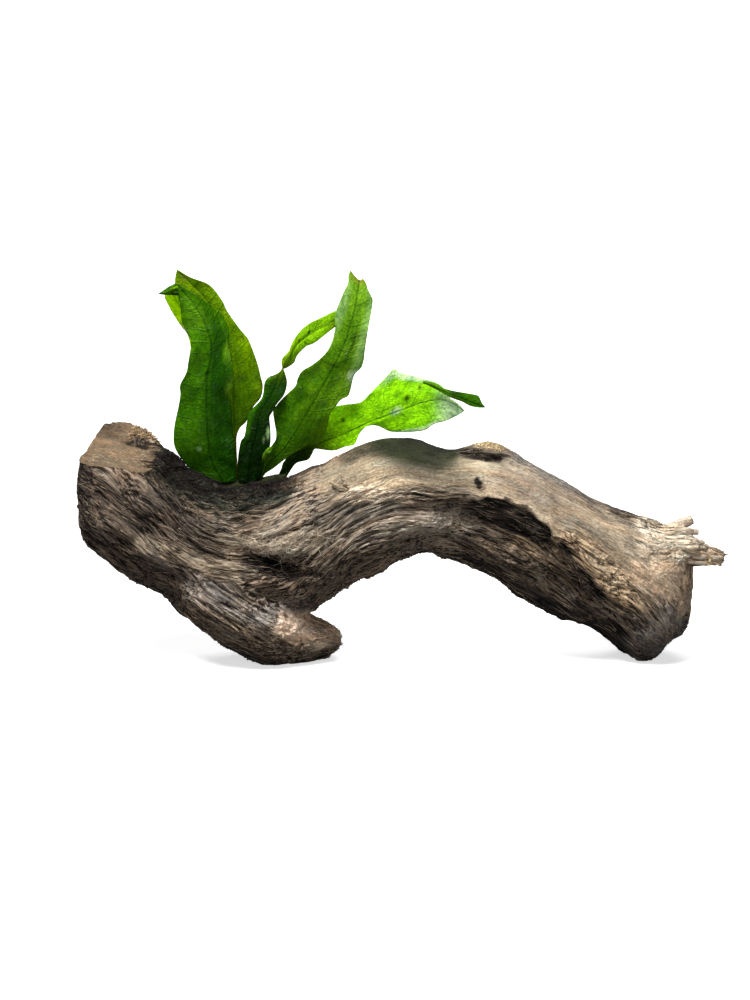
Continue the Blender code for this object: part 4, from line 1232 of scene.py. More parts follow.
@dataclass
class Leaf:
    """One strap-shaped leaf, traced by its midrib (x, y, z) and by its two margins (x, z).

    cup is how far the margins lie behind the midrib for each millimetre across, lean is the same
    from the left to the right margin, and waves run along both margins.
    """

    name: str
    node: str
    slot: str
    midrib: tuple
    left: tuple
    right: tuple
    base: Colour
    tip: Colour
    tint_patches: tuple = ()
    cup: float = 0.1
    lean: float = 0.0
    waves: float = 2.5
    wave_height: float = 1.2
    wave_start: float = 0.0
    columns: int = 32
    rows: int = 160
    thickness: float = 0.42
    stalk: float = 1.8
    crinkle_cells: tuple[float, float] = (14, 5.5)
    rib_width: float = 0.8
    rib_rise: float = 0.45
    rib_thickness: float = 1.1
    seed: int = 0
    finish: str = "wet_leaf"

    def surface(self) -> tuple[np.ndarray, np.ndarray, np.ndarray]:
        """Work out the leaf's middle surface.

        Returns:
            Its points by row and column, each point's place on the leaf in millimetres, and how
            far along the leaf each point is.
        """
        spine = even_rows(np.array(self.midrib, float), self.rows, 3)
        sides = [even_rows(np.array(side, float), self.rows, 2) for side in (self.left, self.right)]
        share = np.linspace(0, 1, self.rows)
        u = np.linspace(-1, 1, self.columns)
        flat = spine[:, [0, 2]]
        half, bend = (sides[1] - sides[0]) / 2, (sides[0] + sides[1]) / 2 - flat
        across = flat[:, None] + u[:, None] * half[:, None] + (u**2)[:, None] * bend[:, None]
        reach = np.linalg.norm(across - flat[:, None], axis=2)
        length = float(np.sum(np.linalg.norm(np.diff(spine, axis=0), axis=1)))
        place = np.stack([
            np.broadcast_to(share[:, None] * length, reach.shape), reach * np.sign(u), np.zeros_like(reach)
        ], axis=-1)
        noise = Noise(self.seed)
        spots = place.reshape(-1, 3)
        large, small = (noise.at(spots, cell).reshape(reach.shape) for cell in self.crinkle_cells)
        crinkle = 1.0 * large + 0.4 * small
        ease = np.clip(share * 5, 0, 1)[:, None] * np.clip((1 - share) * 10, 0, 1)[:, None]
        phase = 2 * math.pi * self.waves * share[:, None] + self.wave_start + np.where(u > 0, 1.9, 0.0)
        depth = spine[:, 1:2] + self.cup * reach + self.lean * reach * np.sign(u)
        depth = depth + ease * (self.wave_height * u**2 * np.sin(phase) + crinkle * np.abs(u) ** 0.5)
        depth = depth + self.rib_rise * np.exp(-((reach / self.rib_width) ** 2)) * ease
        points = np.stack([across[..., 0], depth, across[..., 1]], axis=-1)
        return points, place, np.broadcast_to(share[:, None], reach.shape)

    def build(self, finish: bpy.types.Material) -> bpy.types.Object:
        """Build and dress the leaf.

        Args:
            finish: Its material.

        Returns:
            The leaf.
        """
        middle, place, share = self.surface()
        normal = unit(np.cross(np.gradient(middle, axis=1), np.gradient(middle, axis=0)))
        u = np.broadcast_to(np.linspace(-1, 1, self.columns), share.shape)
        thick = np.maximum(self.stalk * np.clip(1 - share / 0.1, 0, 1), self.thickness)
        rib = self.rib_thickness * np.exp(-((place[..., 1] / self.rib_width) ** 2))
        thick = np.maximum(thick, rib * (1 - 0.7 * share))
        half = (thick / 2 * np.clip(1.02 - np.abs(u) ** 8, 0.2, 1))[..., None]
        count = middle.shape[0] * middle.shape[1]
        points = np.concatenate([(middle - normal * half).reshape(-1, 3), (middle + normal * half).reshape(-1, 3)])
        grid = np.arange(count).reshape(middle.shape[:2])
        front = np.stack([grid[:-1, :-1], grid[:-1, 1:], grid[1:, 1:], grid[1:, :-1]], -1).reshape(-1, 4)
        rim = np.concatenate([grid[0, :-1], grid[:-1, -1], grid[-1, :0:-1], grid[:0:-1, 0]])
        after = np.roll(rim, -1)
        wall = np.stack([after, rim, rim + count, after + count], -1)
        leaf = add_object(self.name, points, np.concatenate([front, front[:, ::-1] + count, wall]))
        tint = (1 - share[..., None]) * np.array(self.base) + share[..., None] * np.array(self.tip)
        for tint_patch in self.tint_patches:
            away = ((share - tint_patch.along) / tint_patch.length) ** 2 + ((u - tint_patch.across) / tint_patch.width) ** 2
            near = tint_patch.depth * np.exp(-(away**2))[..., None]
            tint = tint * (1 - near) + near * np.array(tint_patch.colour)
        store(leaf, "tint", np.tile(tint.reshape(-1, 3), (2, 1)))
        store(leaf, "leaf_place", np.tile(place.reshape(-1, 3), (2, 1)))
        return dress(leaf, finish, self.slot, self.node)


# The leaves of the fern. A blade's fold or curled tip is a piece of its own.
LEAVES: tuple[Leaf, ...] = (
    # The dark broad leaf in front.
    Leaf(
        "front_left_blade", "leaf_front_left", "leaf_dark",
        ((-82.8, 8, 83), (-88, 5, 93.5), (-89.4, 2.2, 104.4), (-89.7, -0.1, 114.7), (-89.7, -1.2, 125.1),
         (-89, -2.1, 135), (-87.4, -2.5, 142), (-86.8, -2.9, 148.9), (-88.5, -2.8, 156.7),
         (-91.6, -2.5, 163.5), (-95.7, -1.5, 169.3), (-101.8, 0, 176.4)),
        ((-87.5, 83.4), (-93.9, 85.4), (-99.3, 90.5), (-103.2, 96.6), (-105.1, 101.5), (-105.3, 105.9),
         (-104.6, 111.8), (-102.7, 119.9), (-101.6, 125.6), (-101.5, 130.3), (-98.5, 135.9), (-97.3, 141.5),
         (-96.2, 147.1), (-95.9, 150.7), (-97.7, 153.9), (-100.1, 159.4), (-100.7, 165.7), (-100.9, 171.1),
         (-101.8, 176.4)),
        ((-77.1, 83.4), (-77.1, 96.6), (-77.9, 107.9), (-78.3, 118.5), (-79.8, 125.1), (-77.2, 129.8),
         (-76.8, 135.5), (-77.8, 142.9), (-79.1, 148.9), (-78.5, 153.9), (-79.8, 158.9), (-82.9, 163.9),
         (-87, 167.5), (-92.5, 171.1), (-97, 173.7), (-101.8, 176.4)),
        DEEP, LEAF,
        (TintPatch(0.3, 0.6, 0.42, 0.62, PINE, 0.8), TintPatch(0.62, 0.35, 0.2, 0.4, PINE, 0.7),
         TintPatch(0.2, -0.55, 0.16, 0.45, LEAF, 0.8), TintPatch(0.6, 0.92, 0.05, 0.25, FRESH, 0.5),
         TintPatch(0.45, 0.95, 0.05, 0.22, FRESH, 0.6), TintPatch(0.55, 0.0, 0.012, 0.12, SHADE, 0.9),
         # The small SHEEN patch is a painted highlight.
         TintPatch(0.13, -0.5, 0.05, 0.5, PINE, 0.8), TintPatch(0.2, -0.35, 0.012, 0.09, SHEEN, 0.8),
         TintPatch(0.98, -0.2, 0.05, 0.8, PINE, 0.5), TintPatch(0.85, -0.2, 0.1, 0.5, FRESH, 0.25)),
        cup=0.12, waves=2.6, wave_height=1.3, wave_start=0.6, seed=1578,
    ),
    # The olive leaf behind it.
    Leaf(
        "back_left_blade", "leaf_back_left", "leaf_olive",
        ((-77.6, 12.5, 82.5), (-77.6, 13, 94.9), (-77.9, 13.7, 106.7), (-78, 13.6, 118.5), (-78.2, 13.1, 128.1),
         (-79.3, 11.5, 144.7), (-82.7, 10.4, 157.8), (-88.9, 9.5, 168.1), (-96, 8.7, 175.5), (-102.7, 8, 182.2)),
        ((-78.6, 82.5), (-78.5, 94.9), (-79.3, 104.3), (-81.8, 113.8), (-84.9, 123.3), (-87.9, 134.2),
         (-90.9, 144.7), (-95.2, 154.1), (-101, 162.5), (-102.6, 170), (-103.8, 175.5), (-103.5, 179.2),
         (-102.7, 182.2)),
        ((-76.6, 82.5), (-76.7, 91.5), (-77, 98.2), (-76.8, 103.8), (-75.3, 107.6), (-72.5, 110.4),
         (-70.5, 114.7), (-68.6, 118.1), (-65.3, 122.3), (-64.3, 127.6), (-65.1, 131.9), (-66.8, 139.5),
         (-70.4, 149.4), (-74.4, 154.6), (-80.3, 163), (-82.4, 167.6), (-88.2, 175.1), (-97.3, 179),
         (-102.7, 182.2)),
        OLIVE, OLIVE,
        (TintPatch(0.05, 0.0, 0.16, 3.0, STRAW, 0.9), TintPatch(0.3, 0.0, 0.14, 1.4, LEAF, 0.45),
         TintPatch(0.5, 0.3, 0.2, 0.5, LEAF, 0.3), TintPatch(0.97, 0.0, 0.03, 0.6, STRAW, 0.5)),
        cup=-0.04, waves=2.2, wave_height=1.0, wave_start=2.0, seed=1426,
    ),
    # The leaf behind both, and its tip that folds over to the front.
    Leaf(
        "curled_blade", "leaf_curled", "leaf_bright",
        ((-89.4, 14.5, 82.8), (-91.8, 19, 100.9), (-93.1, 21, 119.7), (-94.6, 20.3, 136.4),
         (-95.7, 19.5, 146), (-97.7, 17.8, 154.2), (-100.7, 15.5, 161), (-103, 12.8, 166.4),
         (-104.6, 10.2, 169.9), (-105.1, 7.5, 173.8)),
        ((-90.8, 82.8), (-94.7, 100.9), (-96.8, 119.7), (-97.9, 136.4), (-98.5, 146), (-99.7, 151.3),
         (-102.4, 155.1), (-104.9, 159.5), (-107.1, 164.4), (-108.8, 169.4), (-107.9, 172.9)),
        ((-88, 82.8), (-89, 100.9), (-89.8, 119.7), (-91.3, 136.4), (-92.5, 146), (-94.5, 153.2),
         (-96.5, 160), (-98.4, 166.4), (-99.8, 171.4), (-101.9, 174.7)),
        paint(212, 255, 0), paint(216, 255, 24),
        # The near-white strip on the left margin is a painted highlight.
        (TintPatch(0.8, 0.75, 0.2, 0.5, OLIVE, 0.75), TintPatch(0.765, -0.95, 0.03, 0.35, paint(255, 250, 190), 0.9)),
        cup=0.05, waves=1.5, wave_height=0.5, seed=1142, finish="backlit_leaf",
    ),
    Leaf(
        "curled_blade_tip", "leaf_curled", "leaf_bright",
        ((-101, 8.5, 172.9), (-104.7, 7.5, 172.9), (-107.9, 6.9, 171.8), (-111.5, 6.5, 171.2)),
        ((-100.9, 170.1), (-105.1, 170.5), (-108.3, 170.7), (-111.5, 171.2)),
        ((-101.6, 176), (-103.9, 175.7), (-106.6, 174.5), (-109.3, 172.7), (-111.5, 171.2)),
        LEAF, LEAF, (TintPatch(0.6, -0.7, 0.6, 0.5, SHADE, 0.8), TintPatch(1.0, 0.0, 0.2, 2.0, SHADE, 0.7)),
        cup=0.3, waves=1.0, wave_height=0.2, rows=50, columns=20, stalk=0.4, seed=1570,
    ),
    # The narrow leaf that twists, with painted shade on its dark lower part and its bright side above.
    Leaf(
        "twisted_blade", "leaf_twisted", "leaf_dark",
        ((-72, 8, 83), (-70.2, 5, 96.4), (-67.2, 4, 107.4), (-65.2, 3.9, 116.8), (-60.6, 4.7, 124.2),
         (-57.8, 6.1, 130.5), (-54.9, 7.9, 136.4), (-52.3, 10.2, 140.2), (-49.2, 13.3, 145.9), (-44.5, 14.3, 150.4),
         (-38.5, 15.1, 154), (-32.9, 15.5, 157.2), (-27.8, 16, 160.4)),
        ((-76.4, 83.4), (-76.2, 91.9), (-75.5, 97.8), (-74.3, 103.1), (-72.6, 105.5), (-71.6, 111.2),
         (-70.3, 116.4), (-65.2, 121.9), (-63.8, 125.1), (-63.1, 130.1), (-61.1, 132.8), (-57.8, 133.6),
         (-56, 134.5), (-55.3, 136.1), (-53.7, 136.1), (-51.4, 137.2), (-49.5, 138.7), (-48.2, 141.7),
         (-44.1, 145.9), (-40.3, 147.4), (-33.4, 152.7), (-28.7, 156.3)),
        ((-67.3, 83.4), (-64.3, 90.9), (-61.8, 97.8), (-60.6, 102.1), (-60.5, 108.4), (-60.9, 114.1),
         (-59.7, 116.4), (-57.4, 120.5), (-54.1, 124.7), (-52.7, 129.6), (-53.2, 133.2), (-54.4, 136.6),
         (-55.3, 138.5), (-54.9, 141.1), (-52, 144.3), (-51, 146.8), (-48.7, 150.8), (-45.5, 154.5),
         (-41.7, 157.2), (-37.5, 159.1), (-26.9, 164.1)),
        SHADE, GLOW,
        # Painted shade on the lower part; the SHEEN patches are painted highlights.
        (TintPatch(0.2, 0.0, 0.4, 3.0, SHADE, 1.0), TintPatch(0.46, 0.0, 0.14, 3.0, paint(26, 72, 0), 0.97),
         TintPatch(0.34, -0.8, 0.14, 0.35, DEEP, 0.9), TintPatch(0.25, 0.85, 0.03, 0.12, SHEEN, 0.7),
         TintPatch(0.22, 0.62, 0.018, 0.07, SHEEN, 0.6),
         TintPatch(0.52, -0.9, 0.06, 0.35, DEEP, 0.8), TintPatch(0.685, -0.7, 0.04, 0.8, SHADE, 0.95),
         TintPatch(0.85, 0.0, 0.22, 2.0, paint(168, 236, 20), 0.9), TintPatch(0.76, 0.1, 0.008, 0.2, SHADE, 0.8),
         TintPatch(0.82, 0.2, 0.01, 0.2, SHADE, 0.8), TintPatch(0.99, 0.0, 0.06, 2.0, OLIVE, 0.6)),
        cup=0.08, waves=3.0, wave_height=0.5, seed=1275,
    ),
    # The tall leaf with the notched tip.
    Leaf(
        "middle_blade", "leaf_middle", "leaf_olive",
        ((-66.6, 11.5, 83), (-61.2, 10.4, 92), (-54.5, 9, 99.4), (-48.8, 7, 107.8), (-44, 4.7, 116.2),
         (-39.2, 2.7, 124.5), (-34.5, 1.4, 133.1), (-29.4, 0, 142.5), (-25.3, 0, 151.7), (-22.5, 0.1, 160.9),
         (-20.7, 1.3, 169), (-20, 2.3, 174.4), (-19.5, 3.6, 178.1)),
        ((-68, 83), (-66, 89.1), (-63.1, 95.4), (-60.1, 100.4), (-58.4, 102.9), (-58.1, 106.3),
         (-58.9, 111.3), (-59.5, 116.2), (-57.8, 119.2), (-54.5, 123.1), (-48.9, 128.8), (-47.7, 132.6),
         (-45.5, 136.2), (-41.4, 138.8), (-37.2, 142.1), (-33.5, 146.2), (-31.4, 150.8), (-30.3, 155.9),
         (-30.3, 160.9), (-29.3, 165.4), (-26.1, 173), (-24.3, 176.6), (-24.1, 180.1), (-23.2, 182.3)),
        ((-65.2, 83), (-63.7, 86.1), (-59.4, 89.1), (-52.8, 94.4), (-47.1, 97.9), (-42.8, 100.4),
         (-38.6, 102.6), (-35.3, 106.3), (-33.8, 110.8), (-32.9, 115.7), (-31, 118.4), (-27.7, 122.6),
         (-24.5, 124.3), (-23.3, 127.4), (-22.1, 132.6), (-21, 135), (-18.4, 137.6), (-17.2, 141.1),
         (-16.6, 146.2), (-15.2, 155.4), (-13.1, 167.6), (-13.8, 170.8), (-15.2, 173.5), (-16.1, 176.6),
         (-17.7, 178.8)),
        OLIVE, FRESH,
        (TintPatch(0.15, 0.0, 0.22, 2.0, DEEP, 0.8), TintPatch(0.4, 0.2, 0.25, 0.9, LEAF, 0.7),
         TintPatch(0.42, -0.75, 0.3, 0.4, DEEP, 0.8), TintPatch(0.7, 0.0, 0.2, 0.7, LEAF, 0.7),
         # The SHEEN patches and the near-white margin patch below are painted highlights.
         TintPatch(0.86, -0.85, 0.1, 0.4, SHEEN, 0.45), TintPatch(0.76, 0.9, 0.18, 0.25, SHEEN, 0.35),
         TintPatch(0.6, 0.95, 0.03, 0.2, GLINT, 0.6), TintPatch(0.995, 0.0, 0.02, 1.2, STRAW, 0.6),
         TintPatch(0.74, 0.45, 0.05, 0.06, SHADE, 0.7), TintPatch(0.66, 0.4, 0.03, 0.05, SHADE, 0.6),
         TintPatch(0.62, -0.2, 0.008, 0.5, SHADE, 0.6)),
        cup=0.14, waves=2.8, wave_height=1.3, wave_start=1.4, seed=1126,
    ),
    # The bright leaf that arches to the right, and its edge that folds over to a point.
    Leaf(
        "right_blade", "leaf_right", "leaf_bright",
        ((-56.3, 13.8, 83.4), (-54, 14.5, 88.3), (-49.2, 14.5, 93.6), (-44.4, 13.4, 97.4), (-39.2, 12.2, 100.3),
         (-33.1, 10.9, 102.9), (-26.5, 9.3, 106), (-20.4, 7.4, 109.2), (-14.3, 5.2, 112.4), (-6.9, 3, 115.6),
         (0.5, 0.6, 118.8), (9.6, -2.2, 122.5), (18.7, -4.1, 124), (24.8, -4.8, 121.8), (29, -5, 118.8)),
        ((-58.7, 83.4), (-56.5, 87.4), (-55.4, 90.7), (-53, 94.1), (-49.1, 99.7), (-44.2, 106.5),
         (-38.4, 112.9), (-32.8, 117.4), (-25.8, 119.3), (-21.2, 120.1), (-18, 121.4), (-14.3, 125.3),
         (-7, 132.8), (-4.7, 135.6), (-2.9, 136.9), (-0.6, 135.3), (4, 134.4), (13.1, 132.3),
         (16.8, 131.2), (19.1, 129.6), (20.9, 126.8), (22.1, 124.4), (25.7, 122.2), (29, 118.8)),
        ((-54, 83.4), (-51.6, 87.4), (-48.8, 90.7), (-43.6, 92.1), (-41.6, 95.1), (-39.9, 98),
         (-36.9, 97.4), (-33.1, 97.2), (-29.9, 97.7), (-26.1, 99.5), (-21.8, 100.8), (-20.4, 103.4),
         (-18.5, 107.6), (-16.2, 110.5), (-12.9, 110.8), (-8.7, 109.2), (-5, 107.6), (-0.3, 107.6),
         (5.7, 108.4), (11.3, 109.7), (14.9, 112.4), (20.4, 114), (25.9, 116.6), (29, 118.8)),
        paint(164, 240, 0), paint(158, 236, 22),
        (TintPatch(0.08, 0.0, 0.24, 3.0, SHADE, 0.97),
         # The pale tip is partly the leaf's own paler colour, partly painted highlight; the near-white patches on the
         # margins and rib are painted glints.
         TintPatch(0.97, 0.3, 0.1, 3.0, paint(226, 255, 214), 0.95), TintPatch(0.74, -0.92, 0.12, 0.1, GLINT, 0.75),
         TintPatch(0.66, 0.0, 0.03, 0.12, GLINT, 0.6), TintPatch(0.75, 0.95, 0.14, 0.08, GLINT, 0.6),
         TintPatch(0.72, -0.28, 0.015, 0.1, SHADE, 0.85), TintPatch(0.63, -0.2, 0.08, 0.03, DEEP, 0.8),
         TintPatch(0.78, -0.6, 0.008, 0.1, SHADE, 0.8), TintPatch(0.4, -0.5, 0.01, 0.08, SHADE, 0.8)),
        cup=0.1, lean=-0.05, waves=2.4, wave_height=1.2, wave_start=3.0, columns=40, seed=1045,
    ),
    Leaf(
        "right_blade_fold", "leaf_right", "leaf_bright",
        ((9.9, -6.2, 132.3), (15.4, -6.9, 130.5), (20.8, -7.8, 128), (26.8, -8.2, 126), (32.2, -8.6, 123.7),
         (38.6, -9, 121)),
        ((9.9, 133), (13.1, 132.5), (16.7, 131.3), (19, 129.8), (22.2, 128.9), (28.1, 127.8),
         (34.1, 126.6), (35.4, 126), (36.8, 123.1), (38.6, 121)),
        ((9.6, 131.8), (13.1, 130.4), (17.6, 128), (21.7, 125.8), (24.5, 124.6), (28.1, 123.3),
         (31.3, 121.7), (35, 121), (38.6, 121)),
        LEAF, DEEP, (TintPatch(0.2, -0.3, 0.2, 0.6, FRESH, 0.4),), cup=0.2, waves=1.5, wave_height=0.3,
        rows=60, columns=20, stalk=0.4, seed=1561,
    ),
    # The very small young leaf at the foot of the middle leaf.
    Leaf(
        "sprout_blade", "leaf_sprout", "leaf_bright",
        ((-66.3, 6.5, 85.1), (-64.4, 3.4, 91.9), (-63, 1.1, 96.9), (-61.3, 0.4, 99.6), (-59, 0, 101.5)),
        ((-66.7, 85.1), (-65.1, 91.9), (-64.2, 96.6), (-63, 99.1), (-61.1, 100.8), (-59, 101.5)),
        ((-65.6, 85.1), (-63.7, 91.9), (-62.1, 96.9), (-60.2, 98.6), (-59, 101.5)),
        SHADE, FRESH, (TintPatch(0.25, 0.0, 0.4, 3.0, SHADE, 0.95),), cup=0.2, waves=1.0, wave_height=0.1,
        rows=50, columns=14, stalk=1.0, thickness=0.5, seed=1188,
    ),
)


@dataclass(frozen=True)
class PlainFinish:
    """Roots, fibres and splinters: one colour that varies along and between the strands."""

    name: str
    light: Colour
    dark: Colour
    roughness: float = 0.85

    def material(self, fibre: bpy.types.NodeTree) -> bpy.types.Material:
        """Build the material.

        Args:
            fibre: The wood_fibre group.

        Returns:
            The material.
        """
        material, shader, skin = new_material(self.name)
        run = shader.node("Group", {"node_tree": fibre}, Grain=shader.vector("strand"), Length=1.0)
        level = shader.math("ADD", shader.math("MULTIPLY", run.outputs["Fibre"], 0.5), shader.value("shade"))
        colour = shader.mix(shader.spread(level, 0.2, 1.2), self.dark, self.light)
        bump = shader.node("Bump", None, Strength=0.7, Distance=0.2 * MM, Height=run.outputs["Height"])
        shader.feed(skin, Base_Color=colour, Normal=bump.outputs[0])
        skin.inputs["Roughness"].default_value = self.roughness
        skin.inputs["Specular IOR Level"].default_value = 0.2
        return material


class Lay(Enum):
    """How strands lie on the wood."""

    ALONG = "along the grain"
    TANGLED = "any way along the surface"


@dataclass(frozen=True)
class Strands:
    """Loose fibres, hairs or splinters that grow from a stretch of the wood, near a path.

    length, thickness and lift are each a least and a greatest value. stray is how far a strand
    turns off its lay, wander how far it bends, and hug keeps it on the surface.
    """

    name: str
    node: str
    slot: str
    path: tuple
    radii: Point
    count: int
    lay: Lay
    length: tuple[float, float]
    thickness: tuple[float, float]
    lift: tuple[float, float]
    finish: str
    stray: float = 0.25
    wander: float = 0.6
    knots: int = 7
    sides: int = 3
    hug: bool = True
    heading: Point | None = None

    def build(self, wood: "Surface", materials: dict[str, bpy.types.Material], seed: int) -> bpy.types.Object:
        """Grow the strands.

        Args:
            wood: The wood's surface.
            materials: Materials by name.
            seed: Seed of the draw.

        Returns:
            The strands, as one object.
        """
        rng = np.random.default_rng(seed)
        near = near_path(wood.points, self.path, self.radii)
        weight = np.clip(1.0 - near, 0, None) ** 0.5
        starts = rng.choice(len(weight), self.count, p=weight / weight.sum())
        here, normal, flow = wood.points[starts], wood.normals[starts], wood.flow[starts]
        flow = flow - np.sum(flow * normal, axis=1, keepdims=True) * normal
        side = np.cross(normal, flow)
        swing = rng.normal(size=self.count) * self.stray
        if self.lay is Lay.TANGLED:
            swing = rng.uniform(-math.pi, math.pi, self.count)
        run = flow * np.cos(swing)[:, None] + side * np.sin(swing)[:, None]
        run *= rng.choice([-1.0, 1.0], self.count)[:, None]
        if self.heading is not None:
            run = np.array(self.heading) + rng.normal(size=(self.count, 3)) * self.stray
        run = unit(run)
        length = rng.uniform(*self.length, self.count)
        share = np.linspace(0, 1, self.knots)
        bend = rng.normal(size=(self.count, 3)) * self.wander
        waver = rng.normal(size=(self.count, 3)) * self.wander * 0.6
        course = share[:, None] * run[:, None] + share[:, None] ** 2 * bend[:, None]
        course = course + (np.sin(share * 6.0)[:, None] * share[:, None]) * waver[:, None]
        paths = here[:, None] + course * length[:, None, None]
        rise = self.lift[0] + (self.lift[1] - self.lift[0]) * rng.random(self.count)[:, None] * share**1.5
        if self.hug:
            paths = wood.lay(paths.reshape(-1, 3), rise.ravel()).reshape(paths.shape)
        else:
            paths = paths + normal[:, None] * rise[..., None]
        paths[..., 2] = np.maximum(paths[..., 2], 0.3)
        wide = rng.uniform(*self.thickness, self.count)[:, None]
        radii = wide * (1.0 - 0.85 * share**1.6)
        item = tube_object(self.name, paths, radii, self.sides)
        per = self.knots * self.sides
        store(item, "shade", np.repeat(rng.uniform(0.1, 0.9, self.count), per))
        shift = np.repeat(rng.random(self.count) * 90, per)[:, None]
        store(item, "strand", np.repeat(paths.reshape(-1, 3), self.sides, axis=0) + shift)
        return dress(item, materials[self.finish], self.slot, self.node)


class Surface:
    """The carved wood as a surface that other things are laid on."""

    def __init__(self, values: dict[str, np.ndarray]) -> None:
        """Keep the surface.

        Args:
            values: The carved wood's values by name.
        """
        self.points, self.normals, self.flow = values["points"], values["normals"], values["flow"]
        self.tree = KDTree(len(self.points))
        for index, point in enumerate(self.points.tolist()):
            self.tree.insert(point, index)
        self.tree.balance()

    def lay(self, points: np.ndarray, rise: np.ndarray | float) -> np.ndarray:
        """Lay points on the surface.

        Args:
            points: The points.
            rise: How far over the surface each of them lies.

        Returns:
            The laid points.
        """
        index = np.array([self.tree.find(point)[1] for point in points.tolist()])
        normal, spot = self.normals[index], self.points[index]
        over = np.sum((points - spot) * normal, axis=1) - rise
        laid = points - normal * over[:, None]
        on = spot + normal * np.broadcast_to(rise, over.shape)[:, None]
        return np.where(np.linalg.norm(laid - on, axis=1, keepdims=True) > 1.2, on, laid)


@dataclass
class Fern:
    """The java fern: its leaves, creeping stem and wiry roots."""

    stem: tuple = ((-97.0, 10.5, 84.6), (-90.0, 10.5, 82.4), (-80.0, 10.5, 80.6), (-70.0, 10.5, 81.0),
                   (-60.0, 10.5, 83.0), (-54.0, 10.5, 85.8))
    stem_radius: float = 2.8
    roots: tuple = (
        ((-95, 5, 88), (-99, 0, 91), (-104, -4, 95), (-109, -5, 98)),
        ((-84, 4, 84), (-89, -2, 85), (-95, -8, 87), (-101, -12, 88)),
        ((-74, 4, 84), (-68, -3, 84), (-60, -5, 85), (-52, -5, 87)),
        ((-62, 17, 84), (-54, 20, 84), (-44, 22, 84), (-34, 25, 82)),
        ((-90, 17, 84), (-98, 21, 82), (-106, 25, 80)),
    )
    root_radius: float = 0.7
    root_copies: int = 5
    root_spread: float = 1.8
    root_waver: float = 0.35
    root_knots: int = 46
    leaves: tuple[Leaf, ...] = LEAVES

    def build_stem(self, finish: bpy.types.Material) -> None:
        """Build the knobbly creeping stem.

        Args:
            finish: Its material.
        """
        path = even_rows(np.array(self.stem), 90, 3)
        share = np.linspace(0, 1, len(path))
        radius = self.stem_radius * (0.75 + 0.25 * np.sin(math.pi * share)) * np.clip(share * 14, 0.35, 1)
        radius *= np.clip((1 - share) * 14, 0.35, 1)
        item = tube_object("rhizome_stem", path[None], radius[None], 28)
        points, normals = fetch(item.data)
        noise = Noise(STEM_SEED)
        points += normals * (0.45 * noise.at(points, 3.2) + 0.2 * noise.at(points, 1.3))[:, None]
        move_points(item, points)
        store(item, "shade", 0.5 + 0.5 * noise.at(points, 2.0))
        store(item, "strand", points)
        dress(item, finish, "rhizome", "rhizome")

    def build_roots(self, wood: Surface, finish: bpy.types.Material) -> None:
        """Build the wiry roots that hold the stem to the wood.

        Args:
            wood: The wood's surface.
            finish: Their material.
        """
        rng = np.random.default_rng(ROOT_SEED)
        knots, paths, radii = self.root_knots, [], []
        for route in self.roots:
            for copy in range(self.root_copies):
                rows = np.array(route, float) + rng.normal(size=(len(route), 3)) * (self.root_spread if copy else 0.0)
                path = even_rows(rows, knots, 3) + self.root_waver * rng.normal(size=(knots, 3))
                paths.append(wood.lay(path, self.root_radius * 0.8))
                thick = self.root_radius * (1.0 if copy == 0 else rng.uniform(0.35, 0.7))
                radii.append(thick * (1.0 - 0.65 * np.linspace(0, 1, knots) ** 2))
        item = tube_object("wiry_roots", np.array(paths), np.array(radii), 7)
        points, _ = fetch(item.data)
        store(item, "shade", 0.4 + 0.5 * Noise(SHADE_SEED).at(points, 4.0))
        store(item, "strand", points)
        dress(item, finish, "root", *(f"root_{number + 1}" for number in range(len(self.roots))))

    def build(self, wood: Surface, materials: dict[str, bpy.types.Material]) -> None:
        """Build and dress the fern.

        Args:
            wood: The wood's surface.
            materials: Materials by name.
        """
        self.build_stem(materials["fern_stem"])
        self.build_roots(wood, materials["dark_root"])
        for leaf in self.leaves:
            leaf.build(materials[leaf.finish])


